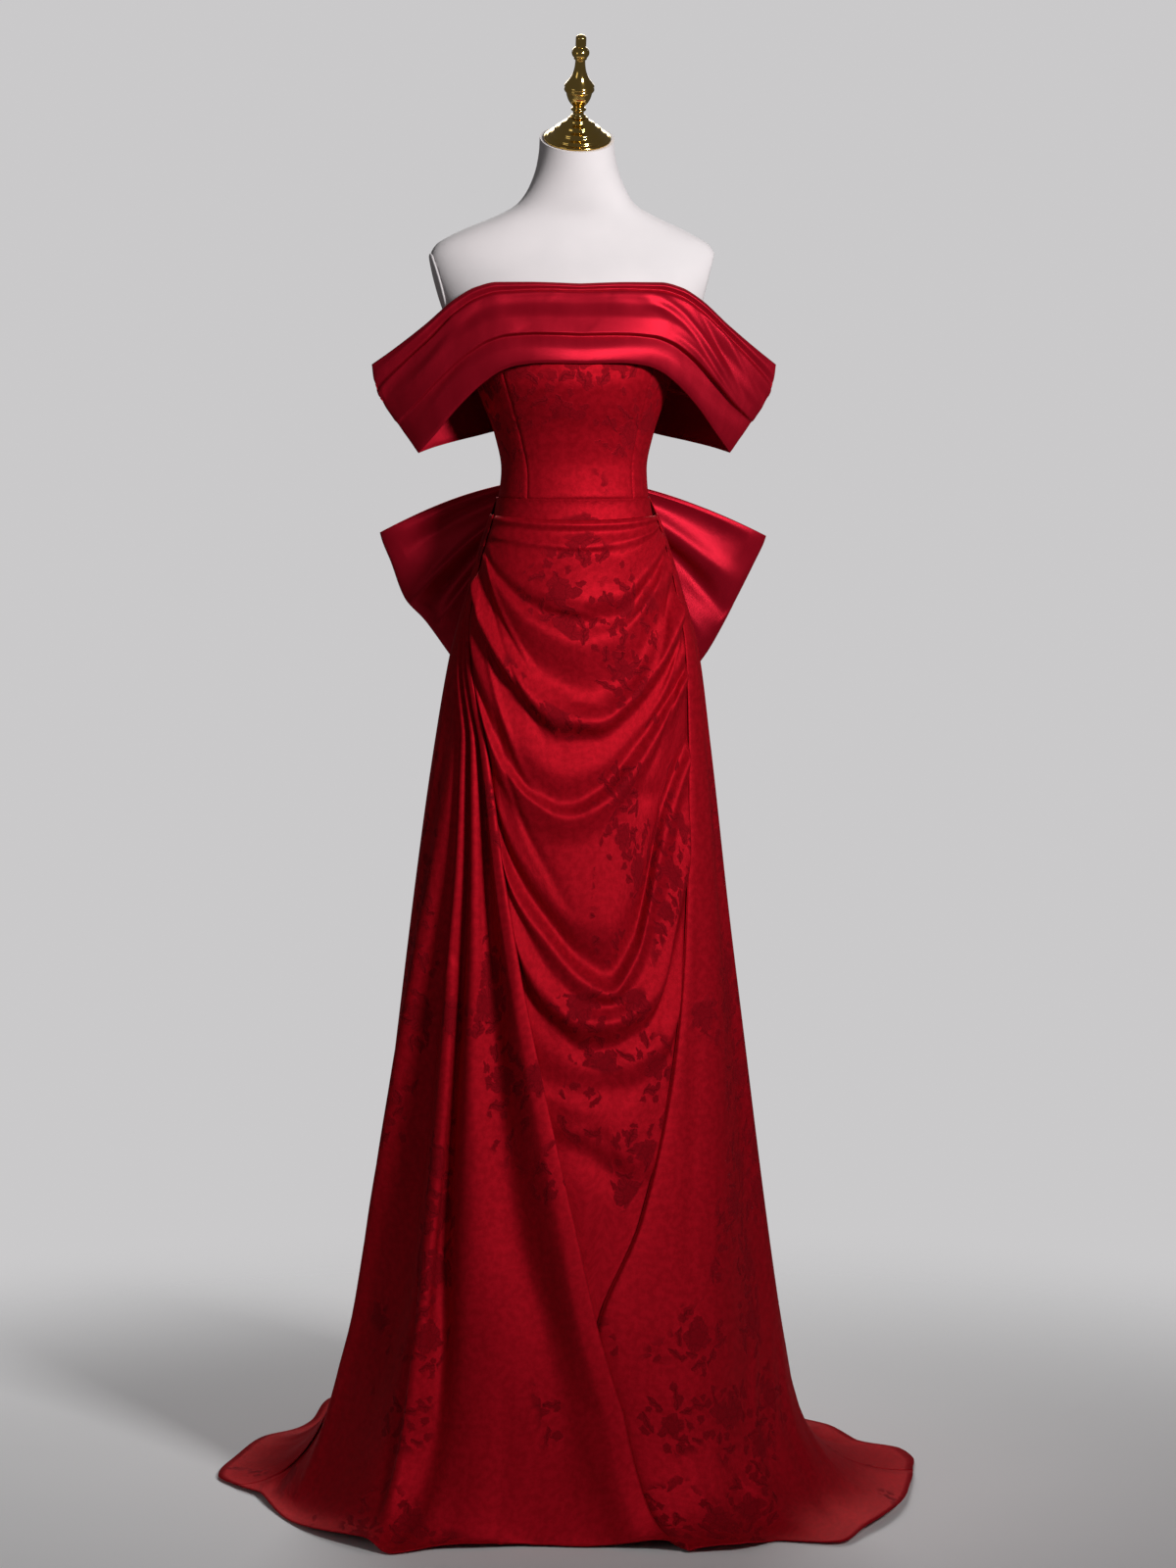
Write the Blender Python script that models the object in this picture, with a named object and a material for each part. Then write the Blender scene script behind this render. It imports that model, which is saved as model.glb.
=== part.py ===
"""Off-shoulder evening gown with a draped front, a train and a back bow, on a limbless dress form.

Metres, +Z up. The gown faces -Y, +X is the viewer's right, and the origin is the middle of the
stand's underside. Angles run round the body from the centre front: 0 is the front, -90 the side
on the viewer's left, +90 the side on the viewer's right, 180 the centre back.
"""
import math
from collections import namedtuple

import bmesh
import bpy
import numpy as np
from mathutils import Matrix, Vector

# Cloth
CLOTH = 0.0016              # thickness of every cloth wall
SEAM = 0.0003               # gap between neighbouring pieces at a seam
SIDE_GAP = 0.00021          # what each skirt panel gives up at its sides, where two meet aslant
MITRE = 0.55                # least cosine allowed where a wall turns a corner
FORM_EASE = 0.0011          # gap between the bodice and the form
MM = 0.001

# Heights
WAIST = 1.3175              # waist seam
SKIRT_TOP = 1.296           # top of the draped panel and the side fronts
FLARE = 0.16                # below this height the skirt bends out to the floor
HEM_REST = 0.0026           # outer face of the hem above the floor
NECK_TOP = 1.781            # middle of the slanted top of the neck
NECK_MIDDLE = 0.001         # the neck's own offset to the side
CAP_TILT = math.radians(24)     # the neck's top and the finial lean forward
FORM_BOTTOM = 0.985
SHOULDER_CUT = (0.188, 1.646)   # half width and height of a point of each armhole's plane
SHOULDER_MIDDLE = -0.004
SHOULDER_SLANT = math.radians(14)   # the armholes face a little down
SHOULDER_TURN = math.radians(8)     # and a little forward
PLATE_THICK = 0.0026
PLATE_FACE = 0.94           # outer face of an armhole plate, as a share of its seat
PLATE_CORNER = 0.002        # corners of the armhole nearer than this are taken as one

# Stand
BASE_RADIUS, BASE_HEIGHT = 0.150, 0.012
BASE_FOOT = 0.0025          # chamfer round the underside
BASE_EDGE = 0.004           # chamfer round the top
POLE_RADIUS = 0.016

# Finish colours, as linear red, green, blue
SATIN = (0.30, 0.006, 0.014)
JACQUARD = (0.33, 0.005, 0.012)
COVER = (0.78, 0.70, 0.69)
BRASS = (0.78, 0.53, 0.16)
STEEL = (0.55, 0.55, 0.56)
BLACK = (0.03, 0.03, 0.03)

# Dress form: sections from hips to neck, each an oval about (middle, 0)
FormRow = namedtuple("FormRow", "z middle half front back")
FORM = (
    FormRow(0.985, -0.003, 0.118, 0.074, 0.086),
    FormRow(1.060, -0.003, 0.142, 0.092, 0.108),
    FormRow(1.120, -0.003, 0.147, 0.098, 0.112),
    FormRow(1.180, -0.003, 0.138, 0.096, 0.103),
    FormRow(1.240, -0.004, 0.117, 0.089, 0.088),
    FormRow(1.300, -0.004, 0.099, 0.081, 0.077),
    FormRow(1.355, -0.003, 0.0925, 0.078, 0.072),
    FormRow(1.400, -0.003, 0.101, 0.086, 0.077),
    FormRow(1.440, -0.004, 0.115, 0.104, 0.084),
    FormRow(1.470, -0.005, 0.126, 0.113, 0.089),
    FormRow(1.500, -0.005, 0.138, 0.112, 0.092),
    FormRow(1.530, -0.005, 0.153, 0.101, 0.094),
    FormRow(1.560, -0.004, 0.167, 0.089, 0.092),
    FormRow(1.590, -0.004, 0.178, 0.078, 0.088),
    FormRow(1.612, -0.004, 0.184, 0.067, 0.082),
    FormRow(1.630, -0.004, 0.186, 0.057, 0.076),
    FormRow(1.645, -0.004, 0.179, 0.050, 0.071),
    FormRow(1.657, -0.004, 0.160, 0.046, 0.066),
    FormRow(1.668, -0.003, 0.138, 0.042, 0.061),
    FormRow(1.682, -0.001, 0.105, 0.040, 0.055),
    FormRow(1.698, 0.000, 0.077, 0.042, 0.051),
    FormRow(1.723, 0.001, 0.061, 0.045, 0.047),
    FormRow(1.750, 0.001, 0.052, 0.049, 0.042),
    FormRow(1.775, 0.001, 0.0487, 0.053, 0.038),
    FormRow(1.820, 0.001, 0.0480, 0.060, 0.031),
)

# Skirt: sections of the valley surface that the folds stand on
SkirtRow = namedtuple("SkirtRow", "z left right front back")
SKIRT = (
    SkirtRow(0.160, 0.306, 0.276, 0.263, 0.345),
    SkirtRow(0.250, 0.280, 0.2605, 0.243, 0.308),
    SkirtRow(0.400, 0.2545, 0.240, 0.209, 0.262),
    SkirtRow(0.600, 0.230, 0.2155, 0.172, 0.214),
    SkirtRow(0.800, 0.206, 0.1915, 0.144, 0.171),
    SkirtRow(1.000, 0.180, 0.171, 0.124, 0.136),
    SkirtRow(1.120, 0.1605, 0.1575, 0.114, 0.124),
    SkirtRow(1.200, 0.1395, 0.1365, 0.106, 0.109),
    SkirtRow(1.250, 0.1255, 0.1205, 0.096, 0.093),
    SkirtRow(1.290, 0.1120, 0.1065, 0.0875, 0.0845),
    SkirtRow(1.320, 0.1015, 0.0935, 0.0825, 0.0795),
)

# Hem on the floor: distance from the axis by compass angle
HemRow = namedtuple("HemRow", "angle reach")
HEM = (
    HemRow(-180, 0.600), HemRow(-165, 0.590), HemRow(-150, 0.592), HemRow(-139, 0.526),
    HemRow(-126, 0.501), HemRow(-109, 0.493), HemRow(-102, 0.486), HemRow(-95, 0.452),
    HemRow(-88, 0.420), HemRow(-75, 0.412), HemRow(-50, 0.411), HemRow(-40, 0.414),
    HemRow(-34, 0.362), HemRow(-27, 0.336), HemRow(-14, 0.304), HemRow(2, 0.309),
    HemRow(11, 0.333), HemRow(20, 0.366), HemRow(29, 0.385), HemRow(37, 0.376),
    HemRow(45, 0.448), HemRow(54, 0.437), HemRow(80, 0.441), HemRow(96, 0.463),
    HemRow(104, 0.486), HemRow(111, 0.495), HemRow(118, 0.460), HemRow(128, 0.474),
    HemRow(140, 0.520), HemRow(152, 0.585), HemRow(166, 0.588), HemRow(180, 0.600),
)

# Long folds of the skirt, one line each, from the left centre back round to the right centre back.
# a_floor to a_1290: the line's angle in degrees at each of ANGLE_LEVELS, up from the floor.
# r_floor to r_1200: its rise in mm off the valley surface at each of RISE_LEVELS.
ANGLE_LEVELS = (0.0, 0.25, 0.40, 0.60, 0.80, 1.00, 1.12, 1.20, 1.29)
RISE_LEVELS = (0.0, 0.40, 0.80, 1.20)
Fold = namedtuple("Fold", "name a_floor a_250 a_400 a_600 a_800 a_1000 a_1120 a_1200 a_1290"
                          " r_floor r_400 r_800 r_1200 cells")
FOLDS = (
    Fold("centre_back_left", -180, -180, -180, -180, -180, -180, -180, -180, -180, 0, 0, 0, 0, 2),
    Fold("back_ridge_1", -169, -168, -168, -168, -168, -169, -170, -171, -172, 16, 26, 17, 3, 2),
    Fold("back_valley_1", -157, -156, -155, -155, -156, -158, -160, -162, -164, 0, 0, 0, 0, 2),
    Fold("back_ridge_2", -144, -142, -141, -141, -143, -147, -150, -153, -156, 13, 22, 15, 3, 2),
    Fold("back_valley_2", -132, -129, -127, -127, -130, -136, -140, -144, -147, 0, 0, 0, 0, 2),
    Fold("back_ridge_3", -120, -116, -114, -113, -116, -122, -128, -132, -136, 9, 17, 12, 3, 2),
    Fold("back_valley_3", -109, -105, -103, -102, -103, -107, -111, -115, -119, 0, 2, 2, 0, 2),
    Fold("side_left", -94, -94, -94, -94, -94, -94, -94, -94, -94, 2, 7, 6, 1, 1),
    Fold("side_ridge", -85, -84, -83, -82, -81, -82, -85.5, -90, -92.2, 5, 9, 7, 1, 2),
    Fold("dark_valley", -68, -65, -62, -60, -58, -62, -78, -87.4, -90.2, 0, -14, -8, 0, 2),
    Fold("thin_ridge", -41, -48, -51.5, -51, -51.5, -57, -74.5, -85.0, -88.4, 14, 14, 8, 1, 1),
    Fold("thin_valley", -35, -42.5, -46.5, -47, -47.5, -53.5, -71.5, -82.8, -86.6, 0, -12, -7, 0, 2),
    Fold("broad_crest", -25, -33, -36, -39, -42.5, -50.5, -68.8, -80.7, -84.8, 5, 11, 9, 1, 2),
    Fold("long_valley", -3, -12, -22, -30.5, -37, -47.5, -66.2, -78.7, -83.1, 0, -11, -7, 0, 2),
    Fold("overlap_crest", 13, -2.5, -9, -19, -30.8, -45, -63.8, -76.8, -81.4, 13, 27, 15, 3, 1),
    Fold("overlap_edge", 17.5, 1.8, -5, -15.5, -28, -42.9, -61.8, -75.1, -79.9, 9, 24, 13, 3.6, 1),
    Fold("overlap_foot", 18, 0.6, -6.8, -17.2, -28.9, -43.2, -61.6, -74.6, -79.3, 1, 2.4, 2.4, 3, 0),
    Fold("right_foot", 18, 0.8, 15.5, 31.5, 44, 54.5, 60.5, 67.5, 80.4, 1, 2.4, 2.4, 3, 1),
    Fold("right_edge", 19, 2.4, 16.3, 32.2, 44.7, 55.4, 61.7, 68.8, 81.8, 4, 8, 6, 3.4, 1),
    Fold("right_crest", 24, 11, 21, 35, 47.5, 58.4, 65, 72.4, 83.6, 8, 10, 7, 3, 2),
    Fold("right_panel", 28, 34, 40, 50, 60, 67.4, 73.4, 78.6, 86, 8, 9, 7, 2, 2),
    Fold("right_valley", 38, 60, 66, 71, 76, 80, 83, 85, 88, 0, -6, -1, 0, 2),
    Fold("train_ridge", 60, 78, 81, 82, 84, 86, 87.6, 88.8, 90.6, 9, 7, 6, 1, 1),
    Fold("side_right", 93, 93, 93, 93, 93, 93, 93, 93, 93, 3, 7, 5, 1, 2),
    Fold("back_valley_4", 106, 105, 104, 104, 105, 108, 111, 115, 119, 0, 0, 1, 0, 2),
    Fold("back_ridge_4", 118, 116, 115, 114, 116, 122, 127, 131, 135, 10, 17, 12, 3, 2),
    Fold("back_valley_5", 131, 129, 128, 128, 130, 135, 140, 143, 146, 0, 0, 0, 0, 2),
    Fold("back_ridge_5", 144, 143, 142, 142, 144, 147, 150, 153, 155, 13, 23, 15, 3, 2),
    Fold("back_valley_6", 157, 156, 155, 155, 156, 158, 160, 162, 164, 0, 0, 0, 0, 2),
    Fold("back_ridge_6", 169, 168, 168, 168, 168, 169, 170, 171, 172, 16, 26, 17, 3, 2),
    Fold("centre_back_right", 180, 180, 180, 180, 180, 180, 180, 180, 180, 0, 0, 0, 0, 0),
)
LINE = {fold.name: number for number, fold in enumerate(FOLDS)}

# Swags across the draped front, one line each, from the rolled top down. left to right are
# heights at each of COLUMN_PLACES, from the panel's left edge at -1 to its right edge at 1.
# rise_left, rise_mid and rise_right are the line's rise in mm.
COLUMN_PLACES = (-1.0, -0.85, -0.60, -0.30, 0.0, 0.30, 0.60, 0.85, 1.0)
Swag = namedtuple("Swag", "name left l85 l60 l30 middle r30 r60 r85 right"
                          " rise_left rise_mid rise_right cells")
SWAGS = (
    Swag("top", 1.296, 1.295, 1.294, 1.292, 1.291, 1.292, 1.294, 1.295, 1.296, 0.5, 0.5, 0.5, 1),
    Swag("roll", 1.291, 1.290, 1.288, 1.285, 1.284, 1.285, 1.288, 1.290, 1.291, 4, 4.5, 4, 1),
    Swag("roll_foot", 1.284, 1.283, 1.280, 1.276, 1.275, 1.276, 1.281, 1.286, 1.287, 0.5, 0.5, 0.5, 1),
    Swag("pinch", 1.272, 1.270, 1.267, 1.260, 1.256, 1.261, 1.272, 1.281, 1.285, 2.5, 5.5, 4, 1),
    Swag("pinch_foot", 1.268, 1.264, 1.258, 1.250, 1.248, 1.247, 1.261, 1.275, 1.281, 1.5, 2, 0.5, 2),
    Swag("first", 1.262, 1.256, 1.229, 1.200, 1.188, 1.198, 1.237, 1.263, 1.274, 5.5, 15, 12, 1),
    Swag("first_foot", 1.256, 1.243, 1.213, 1.179, 1.161, 1.169, 1.213, 1.245, 1.260, 2.5, 4, 1.5, 1),
    Swag("second", 1.250, 1.235, 1.200, 1.154, 1.132, 1.147, 1.190, 1.217, 1.227, 11, 12, 9.5, 1),
    Swag("second_foot", 1.238, 1.214, 1.161, 1.097, 1.073, 1.092, 1.148, 1.191, 1.211, 2, 1.5, 1.5, 1),
    Swag("third", 1.225, 1.192, 1.107, 1.039, 1.032, 1.062, 1.110, 1.161, 1.190, 16, 20, 16, 1),
    Swag("third_foot", 1.208, 1.163, 1.069, 1.009, 1.010, 1.038, 1.084, 1.133, 1.166, 2.5, 2.5, 4, 1),
    Swag("soft", 1.180, 1.089, 0.995, 0.966, 0.977, 1.016, 1.066, 1.113, 1.134, 9.5, 7, 8, 1),
    Swag("soft_foot", 1.150, 1.022, 0.951, 0.931, 0.950, 0.996, 1.046, 1.088, 1.112, 4, 2, 4, 1),
    Swag("fourth", 1.105, 0.985, 0.933, 0.910, 0.926, 0.969, 1.032, 1.080, 1.098, 13.5, 17.5, 15, 1),
    Swag("fourth_foot", 1.021, 0.943, 0.889, 0.874, 0.890, 0.935, 0.998, 1.052, 1.077, 8, 9.5, 7, 1),
    Swag("panel", 0.977, 0.894, 0.824, 0.779, 0.776, 0.833, 0.938, 1.011, 1.044, 12, 13.5, 5.5, 2),
    Swag("deep", 0.946, 0.851, 0.786, 0.735, 0.714, 0.763, 0.918, 0.988, 1.017, -2.5, 0, 1.5, 1),
    Swag("fifth", 0.913, 0.811, 0.751, 0.702, 0.685, 0.728, 0.880, 0.965, 0.995, 15, 17.5, 12, 1),
    Swag("fifth_foot", 0.875, 0.787, 0.715, 0.674, 0.670, 0.695, 0.782, 0.930, 0.955, 8, 9.5, 7, 1),
    Swag("sixth", 0.838, 0.720, 0.671, 0.646, 0.647, 0.660, 0.695, 0.830, 0.886, 16, 21.5, 15, 1),
    Swag("sixth_foot", 0.798, 0.677, 0.637, 0.615, 0.617, 0.629, 0.657, 0.745, 0.820, -1.5, -1.5, 0, 1),
    Swag("seventh", 0.667, 0.623, 0.600, 0.590, 0.591, 0.595, 0.611, 0.636, 0.723, 1.5, 4, 9.5, 1),
    Swag("seventh_foot", 0.623, 0.579, 0.570, 0.562, 0.563, 0.564, 0.577, 0.601, 0.680, 0, 0, 1.5, 1),
    Swag("slack", 0.569, 0.554, 0.540, 0.533, 0.533, 0.533, 0.543, 0.564, 0.579, 4, 5.5, 2.5, 1),
    Swag("eighth", 0.532, 0.524, 0.516, 0.508, 0.495, 0.484, 0.477, 0.478, 0.478, 2.5, 7, 4, 1),
    Swag("eighth_foot", 0.496, 0.494, 0.490, 0.479, 0.463, 0.451, 0.442, 0.440, 0.439, -2.5, -4, 0, 1),
    Swag("tail", 0.438, 0.436, 0.433, 0.427, 0.419, 0.412, 0.407, 0.404, 0.402, 1.5, 1.5, 0, 2),
    Swag("wedge_end", 0.262, 0.262, 0.262, 0.262, 0.262, 0.262, 0.262, 0.262, 0.262, 0, 0, 0, 0),
)
DRAPE_GAP = 0.25            # degrees between the panel and the fold lines at its sides
TUCK = 0.14                 # share of the half width over which a swag's rise dies at the sides
RISE_SIDES = 0.7            # share of the half width at which the side rises are reached
NARROWING = 0.7             # power by which a swag sinks as its two lines run together
TIER = {swag.name: number for number, swag in enumerate(SWAGS)}
FRONT_HEIGHTS = (SKIRT_TOP, 1.26, 1.22, 1.18, 1.13, 1.07, 1.00, 0.92, 0.84, 0.76, 0.68, 0.60,
                 0.52, 0.44, 0.36, 0.295, 0.245, 0.20, FLARE, 0.12, 0.08, 0.048, 0.022, 0.0)
BACK_HEIGHTS = (WAIST, SKIRT_TOP, 1.26, 1.18, 1.07, 0.92, 0.76, 0.60, 0.44, 0.295,
                0.20, FLARE, 0.12, 0.08, 0.048, 0.022, 0.0)

# Heights where the form, the bodice and the yoke all have a ring of points, so that they nest
FIT_HEIGHTS = (1.262, 1.280, 1.300, WAIST, 1.345, 1.375, 1.405, 1.430, 1.452, 1.476, 1.500)

# Bodice: angles of the seams by height
SeamRow = namedtuple("SeamRow", "z left right")
PRINCESS = (SeamRow(WAIST, -42, 49), SeamRow(1.42, -47, 48), SeamRow(1.56, -47, 47))
BODICE_TOP, BODICE_PEAK = 1.504, 0.019

# Shoulder band: edge heights by distance out along the band (0 middle, 1 sleeve end)
BandRow = namedtuple("BandRow", "out front_top front_low back_top back_low")
BAND_EDGES = (
    BandRow(0.00, 1.594, 1.491, 1.572, 1.412),
    BandRow(0.25, 1.596, 1.492, 1.575, 1.410),
    BandRow(0.40, 1.596, 1.489, 1.576, 1.407),
    BandRow(0.50, 1.590, 1.482, 1.572, 1.403),
    BandRow(0.60, 1.575, 1.468, 1.561, 1.398),
    BandRow(0.75, 1.541, 1.438, 1.534, 1.391),
    BandRow(0.90, 1.510, 1.400, 1.508, 1.383),
    BandRow(1.00, 1.491, 1.376, 1.491, 1.376),
)
# Pleats of the band from top to bottom. at_middle and at_end: place down the band;
# rise_middle and rise_end: mm off its valley surface
Pleat = namedtuple("Pleat", "name at_middle at_end rise_middle rise_end cells")
PLEATS = (
    Pleat("top_edge", 0.00, 0.00, 0.3, 0.3, 1),
    Pleat("lip", 0.05, 0.13, 3.2, 3.5, 1),
    Pleat("groove", 0.105, 0.25, 0.4, 0.3, 1),
    Pleat("main_top", 0.17, 0.31, 5.5, 3.5, 1),
    Pleat("main_belly", 0.42, 0.47, 8.5, 0.6, 1),
    Pleat("main_edge", 0.645, 0.65, 8.0, 4.0, 1),
    Pleat("main_foot", 0.665, 0.68, 1.8, 0.6, 1),
    Pleat("low_belly", 0.84, 0.84, 4.0, 2.2, 1),
    Pleat("low_edge", 0.97, 0.97, 3.0, 0.6, 1),
    Pleat("bottom", 1.00, 1.00, 0.6, 0.0, 0),
)
# Reach of the band's ends by place down the band, and its depth in front and behind
PlanRow = namedtuple("PlanRow", "down end front back")
BAND_PLAN = (
    PlanRow(0.0, 0.264, 0.0790, 0.0939),
    PlanRow(0.3, 0.257, 0.0915, 0.0960),
    PlanRow(0.62, 0.234, 0.1050, 0.0965),
    PlanRow(0.85, 0.215, 0.1140, 0.0945),
    PlanRow(1.0, 0.204, 0.1174, 0.0925),
)
BACK_RISE = 0.8             # rise of the back pleats, as a share of the front ones
BAND_FOLD = 0.008           # radius where front and back meet at a sleeve end
BAND_BULGE = 2.2            # power of the band's plan curve
BAND_MIDDLE = -0.002

# Bow: corners of a wing from the knot to the end fold, top to bottom, for each side
WingRow = namedtuple("WingRow", "across root_z left_x left_z right_x right_z ridge")
WING = (
    WingRow(0.00, 1.345, -0.250, 1.268, 0.271, 1.262, 0.0),
    WingRow(0.07, 1.341, -0.247, 1.257, 0.268, 1.253, 4.0),
    WingRow(0.20, 1.334, -0.236, 1.230, 0.255, 1.226, -1.0),
    WingRow(0.45, 1.319, -0.217, 1.180, 0.232, 1.180, 5.0),
    WingRow(0.62, 1.308, -0.190, 1.150, 0.213, 1.143, -1.0),
    WingRow(0.80, 1.297, -0.166, 1.117, 0.191, 1.105, 4.0),
    WingRow(1.00, 1.286, -0.143, 1.084, 0.164, 1.070, 0.0),
)
# A loop's path: out from the knot on its front layer, round the end fold and back
LoopRow = namedtuple("LoopRow", "step out half_open back")
LOOP = (
    LoopRow(0.0, 0.00, -0.0040, 0.000), LoopRow(1.0, 0.18, -0.0095, 0.016),
    LoopRow(2.0, 0.55, -0.0180, 0.042), LoopRow(3.0, 0.88, -0.0140, 0.054),
    LoopRow(4.0, 1.00, 0.0000, 0.058), LoopRow(5.0, 0.88, 0.0140, 0.054),
    LoopRow(6.0, 0.55, 0.0180, 0.042), LoopRow(7.0, 0.18, 0.0095, 0.016),
    LoopRow(8.0, 0.00, 0.0040, 0.000),
)
BOW_MIDDLE, BOW_DEPTH, BOW_HEIGHT = -0.001, 0.1052, 1.3150
ROOT_GAP = 0.00045          # from the knot's side to a loop's root
LOOP_LIFT = 0.012           # how far a loop arches up between the knot and its end
RIDGE_REACH = 0.014         # half opening at which a loop's folds have their full depth
KNOT_HALF = (0.0200, 0.0205, 0.0360)
KNOT_SQUARE = 0.55          # power that squares the knot's round sides
KNOT_PLEAT = 0.10           # depth of the knot's two pleats, as a share of its half depth
KNOT_WAVE = 1.5 * math.pi   # spacing of the pleats, in radians over the knot's half width

# Brass cap and finial: turned profiles as radius and height along the leaning axis
CAP_PROFILE = ((0.0, 0.0), (0.0440, 0.0), (0.0440, 0.0034), (0.0385, 0.0047), (0.0375, 0.0078),
               (0.0315, 0.0106), (0.0300, 0.0151), (0.0225, 0.0185), (0.0200, 0.0230),
               (0.0140, 0.0258), (0.0115, 0.0302), (0.0, 0.0302))
FINIAL_PROFILE = ((0.0, 0.0306), (0.0097, 0.0306), (0.0100, 0.0347), (0.0080, 0.0386),
                  (0.0077, 0.0414), (0.0110, 0.0482), (0.0160, 0.0582), (0.0174, 0.0638),
                  (0.0194, 0.0672), (0.0194, 0.0739), (0.0172, 0.0773), (0.0110, 0.0851),
                  (0.0068, 0.0963), (0.0063, 0.1075), (0.0075, 0.1103), (0.0112, 0.1142),
                  (0.0115, 0.1198), (0.0080, 0.1249), (0.0050, 0.1266), (0.0066, 0.1310),
                  (0.0066, 0.1366), (0.0045, 0.1406), (0.0, 0.1417))


class Curve:
    """Smooth curve through one column of a table, which never swings past its rows."""

    def __init__(self, places, heights):
        self.x = np.asarray(places, float)
        self.y = np.asarray(heights, float)
        step = np.diff(self.x)
        slope = np.diff(self.y) / step
        self.m = np.zeros_like(self.y)
        same = slope[:-1] * slope[1:] > 0
        mean = 2 * slope[:-1] * slope[1:] / np.where(same, slope[:-1] + slope[1:], 1.0)
        self.m[1:-1] = np.where(same, mean, 0.0)
        self.m[0], self.m[-1] = slope[0], slope[-1]

    def __call__(self, at):
        at = np.clip(np.asarray(at, float), self.x[0], self.x[-1])
        i = np.clip(np.searchsorted(self.x, at, side="right") - 1, 0, len(self.x) - 2)
        h = self.x[i + 1] - self.x[i]
        t = (at - self.x[i]) / h
        rise = (3 - 2 * t) * t * t
        bend = t * (1 - t)
        return (self.y[i] + (self.y[i + 1] - self.y[i]) * rise
                + h * bend * (self.m[i] * (1 - t) - self.m[i + 1] * t))


def columns(table, key):
    """One Curve for each column of a table of named rows, read against the column called key."""
    rows = sorted(table, key=lambda row: getattr(row, key))
    places = [getattr(row, key) for row in rows]
    fields = [name for name in rows[0]._fields if name not in (key, "name")]
    return {name: Curve(places, [getattr(row, name) for row in rows]) for name in fields}


form = columns(FORM, "z")
skirt = columns(SKIRT, "z")
hem = columns(HEM, "angle")
princess = columns(PRINCESS, "z")
band_edges = columns(BAND_EDGES, "out")
band_plan = columns(BAND_PLAN, "down")
wing = columns(WING, "across")
loop = columns(LOOP, "step")


def numbered(table, name):
    """One column read against the row's number, so 2.5 is halfway from row 2 to row 3."""
    return Curve(range(len(table)), [getattr(row, name) for row in table])


swag = {name: numbered(SWAGS, name) for name in Swag._fields[1:-1]}
height_by_column = [swag[name] for name in Swag._fields[1:10]]
column_number = Curve(COLUMN_PLACES, range(len(COLUMN_PLACES)))
pleat = {name: numbered(PLEATS, name) for name in Pleat._fields[1:-1]}
angle_by_line = [Curve(ANGLE_LEVELS, fold[1:10]) for fold in FOLDS]
rise_by_line = [Curve(RISE_LEVELS, fold[10:14]) for fold in FOLDS]


def keep_right_of(name, guide, gap):
    """Holds a fold line at least gap degrees to the right of a guide line, at every height."""
    free = angle_by_line[LINE[name]]
    held = angle_by_line[LINE[guide]]
    angle_by_line[LINE[name]] = lambda height: np.maximum(free(height), held(height) + gap)


keep_right_of("right_foot", "overlap_foot", 0.15)
keep_right_of("right_edge", "overlap_foot", 1.3)
keep_right_of("right_crest", "overlap_foot", 5.0)


def across_lines(curves, number, height):
    """Reads one curve per fold line at its height, then runs smoothly from line to line."""
    number = np.clip(number, 0, len(curves) - 1)
    i = np.clip(np.floor(number).astype(int), 0, len(curves) - 2)
    at = [np.empty(number.shape) for _ in range(4)]
    for line, curve in enumerate(curves):
        value = curve(height)
        for slot, shift in enumerate((-1, 0, 1, 2)):
            wanted = np.clip(i + shift, 0, len(curves) - 1) == line
            at[slot] = np.where(wanted, value, at[slot])
    before, here, there, after = at
    low, mid, high = here - before, there - here, after - there

    def mean(a, b):
        same = a * b > 0
        return np.where(same, 2 * a * b / np.where(same, a + b, 1.0), 0.0)

    start = np.where(i == 0, mid, mean(low, mid))
    end = np.where(i == len(curves) - 2, mid, mean(mid, high))
    t = number - i
    return here + mid * (3 - 2 * t) * t * t + t * (1 - t) * (start * (1 - t) - end * t)


def ladder(table, first, last):
    """Places between two lines of a table, with each line's own number of cells after it."""
    places = []
    for number in range(first, last):
        cells = table[number].cells
        places += [number + k / cells for k in range(cells)]
    return np.array(places + [last], float)


# Surfaces

def unit(vectors):
    return vectors / np.maximum(np.linalg.norm(vectors, axis=-1, keepdims=True), 1e-12)


def normals(surface, u, v, step_u, step_v):
    along = surface(u + step_u, v) - surface(u - step_u, v)
    down = surface(u, v + step_v) - surface(u, v - step_v)
    return unit(np.cross(along, down))


def form_surface(angle, z):
    """The dress form's skin, by angle in degrees and height."""
    turn = np.radians(angle)
    depth = np.where(np.cos(turn) > 0, form["front"](z), form["back"](z))
    x = form["middle"](z) + form["half"](z) * np.sin(turn)
    return np.stack([x, -depth * np.cos(turn), z + 0 * x], -1)


def clothed_form(off):
    """The form's skin moved out by off metres."""
    def surface(angle, z):
        facing = normals(form_surface, angle, z, 0.5, 0.002)
        facing[..., 2] *= 0.0
        return form_surface(angle, z) + off * unit(facing)
    return surface


def section_point(angle, z):
    turn = np.radians(angle)
    half = np.where(np.sin(turn) < 0, skirt["left"](z), skirt["right"](z))
    depth = np.where(np.cos(turn) > 0, skirt["front"](z), skirt["back"](z))
    x = half * np.sin(turn)
    return np.stack([x, -depth * np.cos(turn), z + 0 * x], -1)


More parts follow.
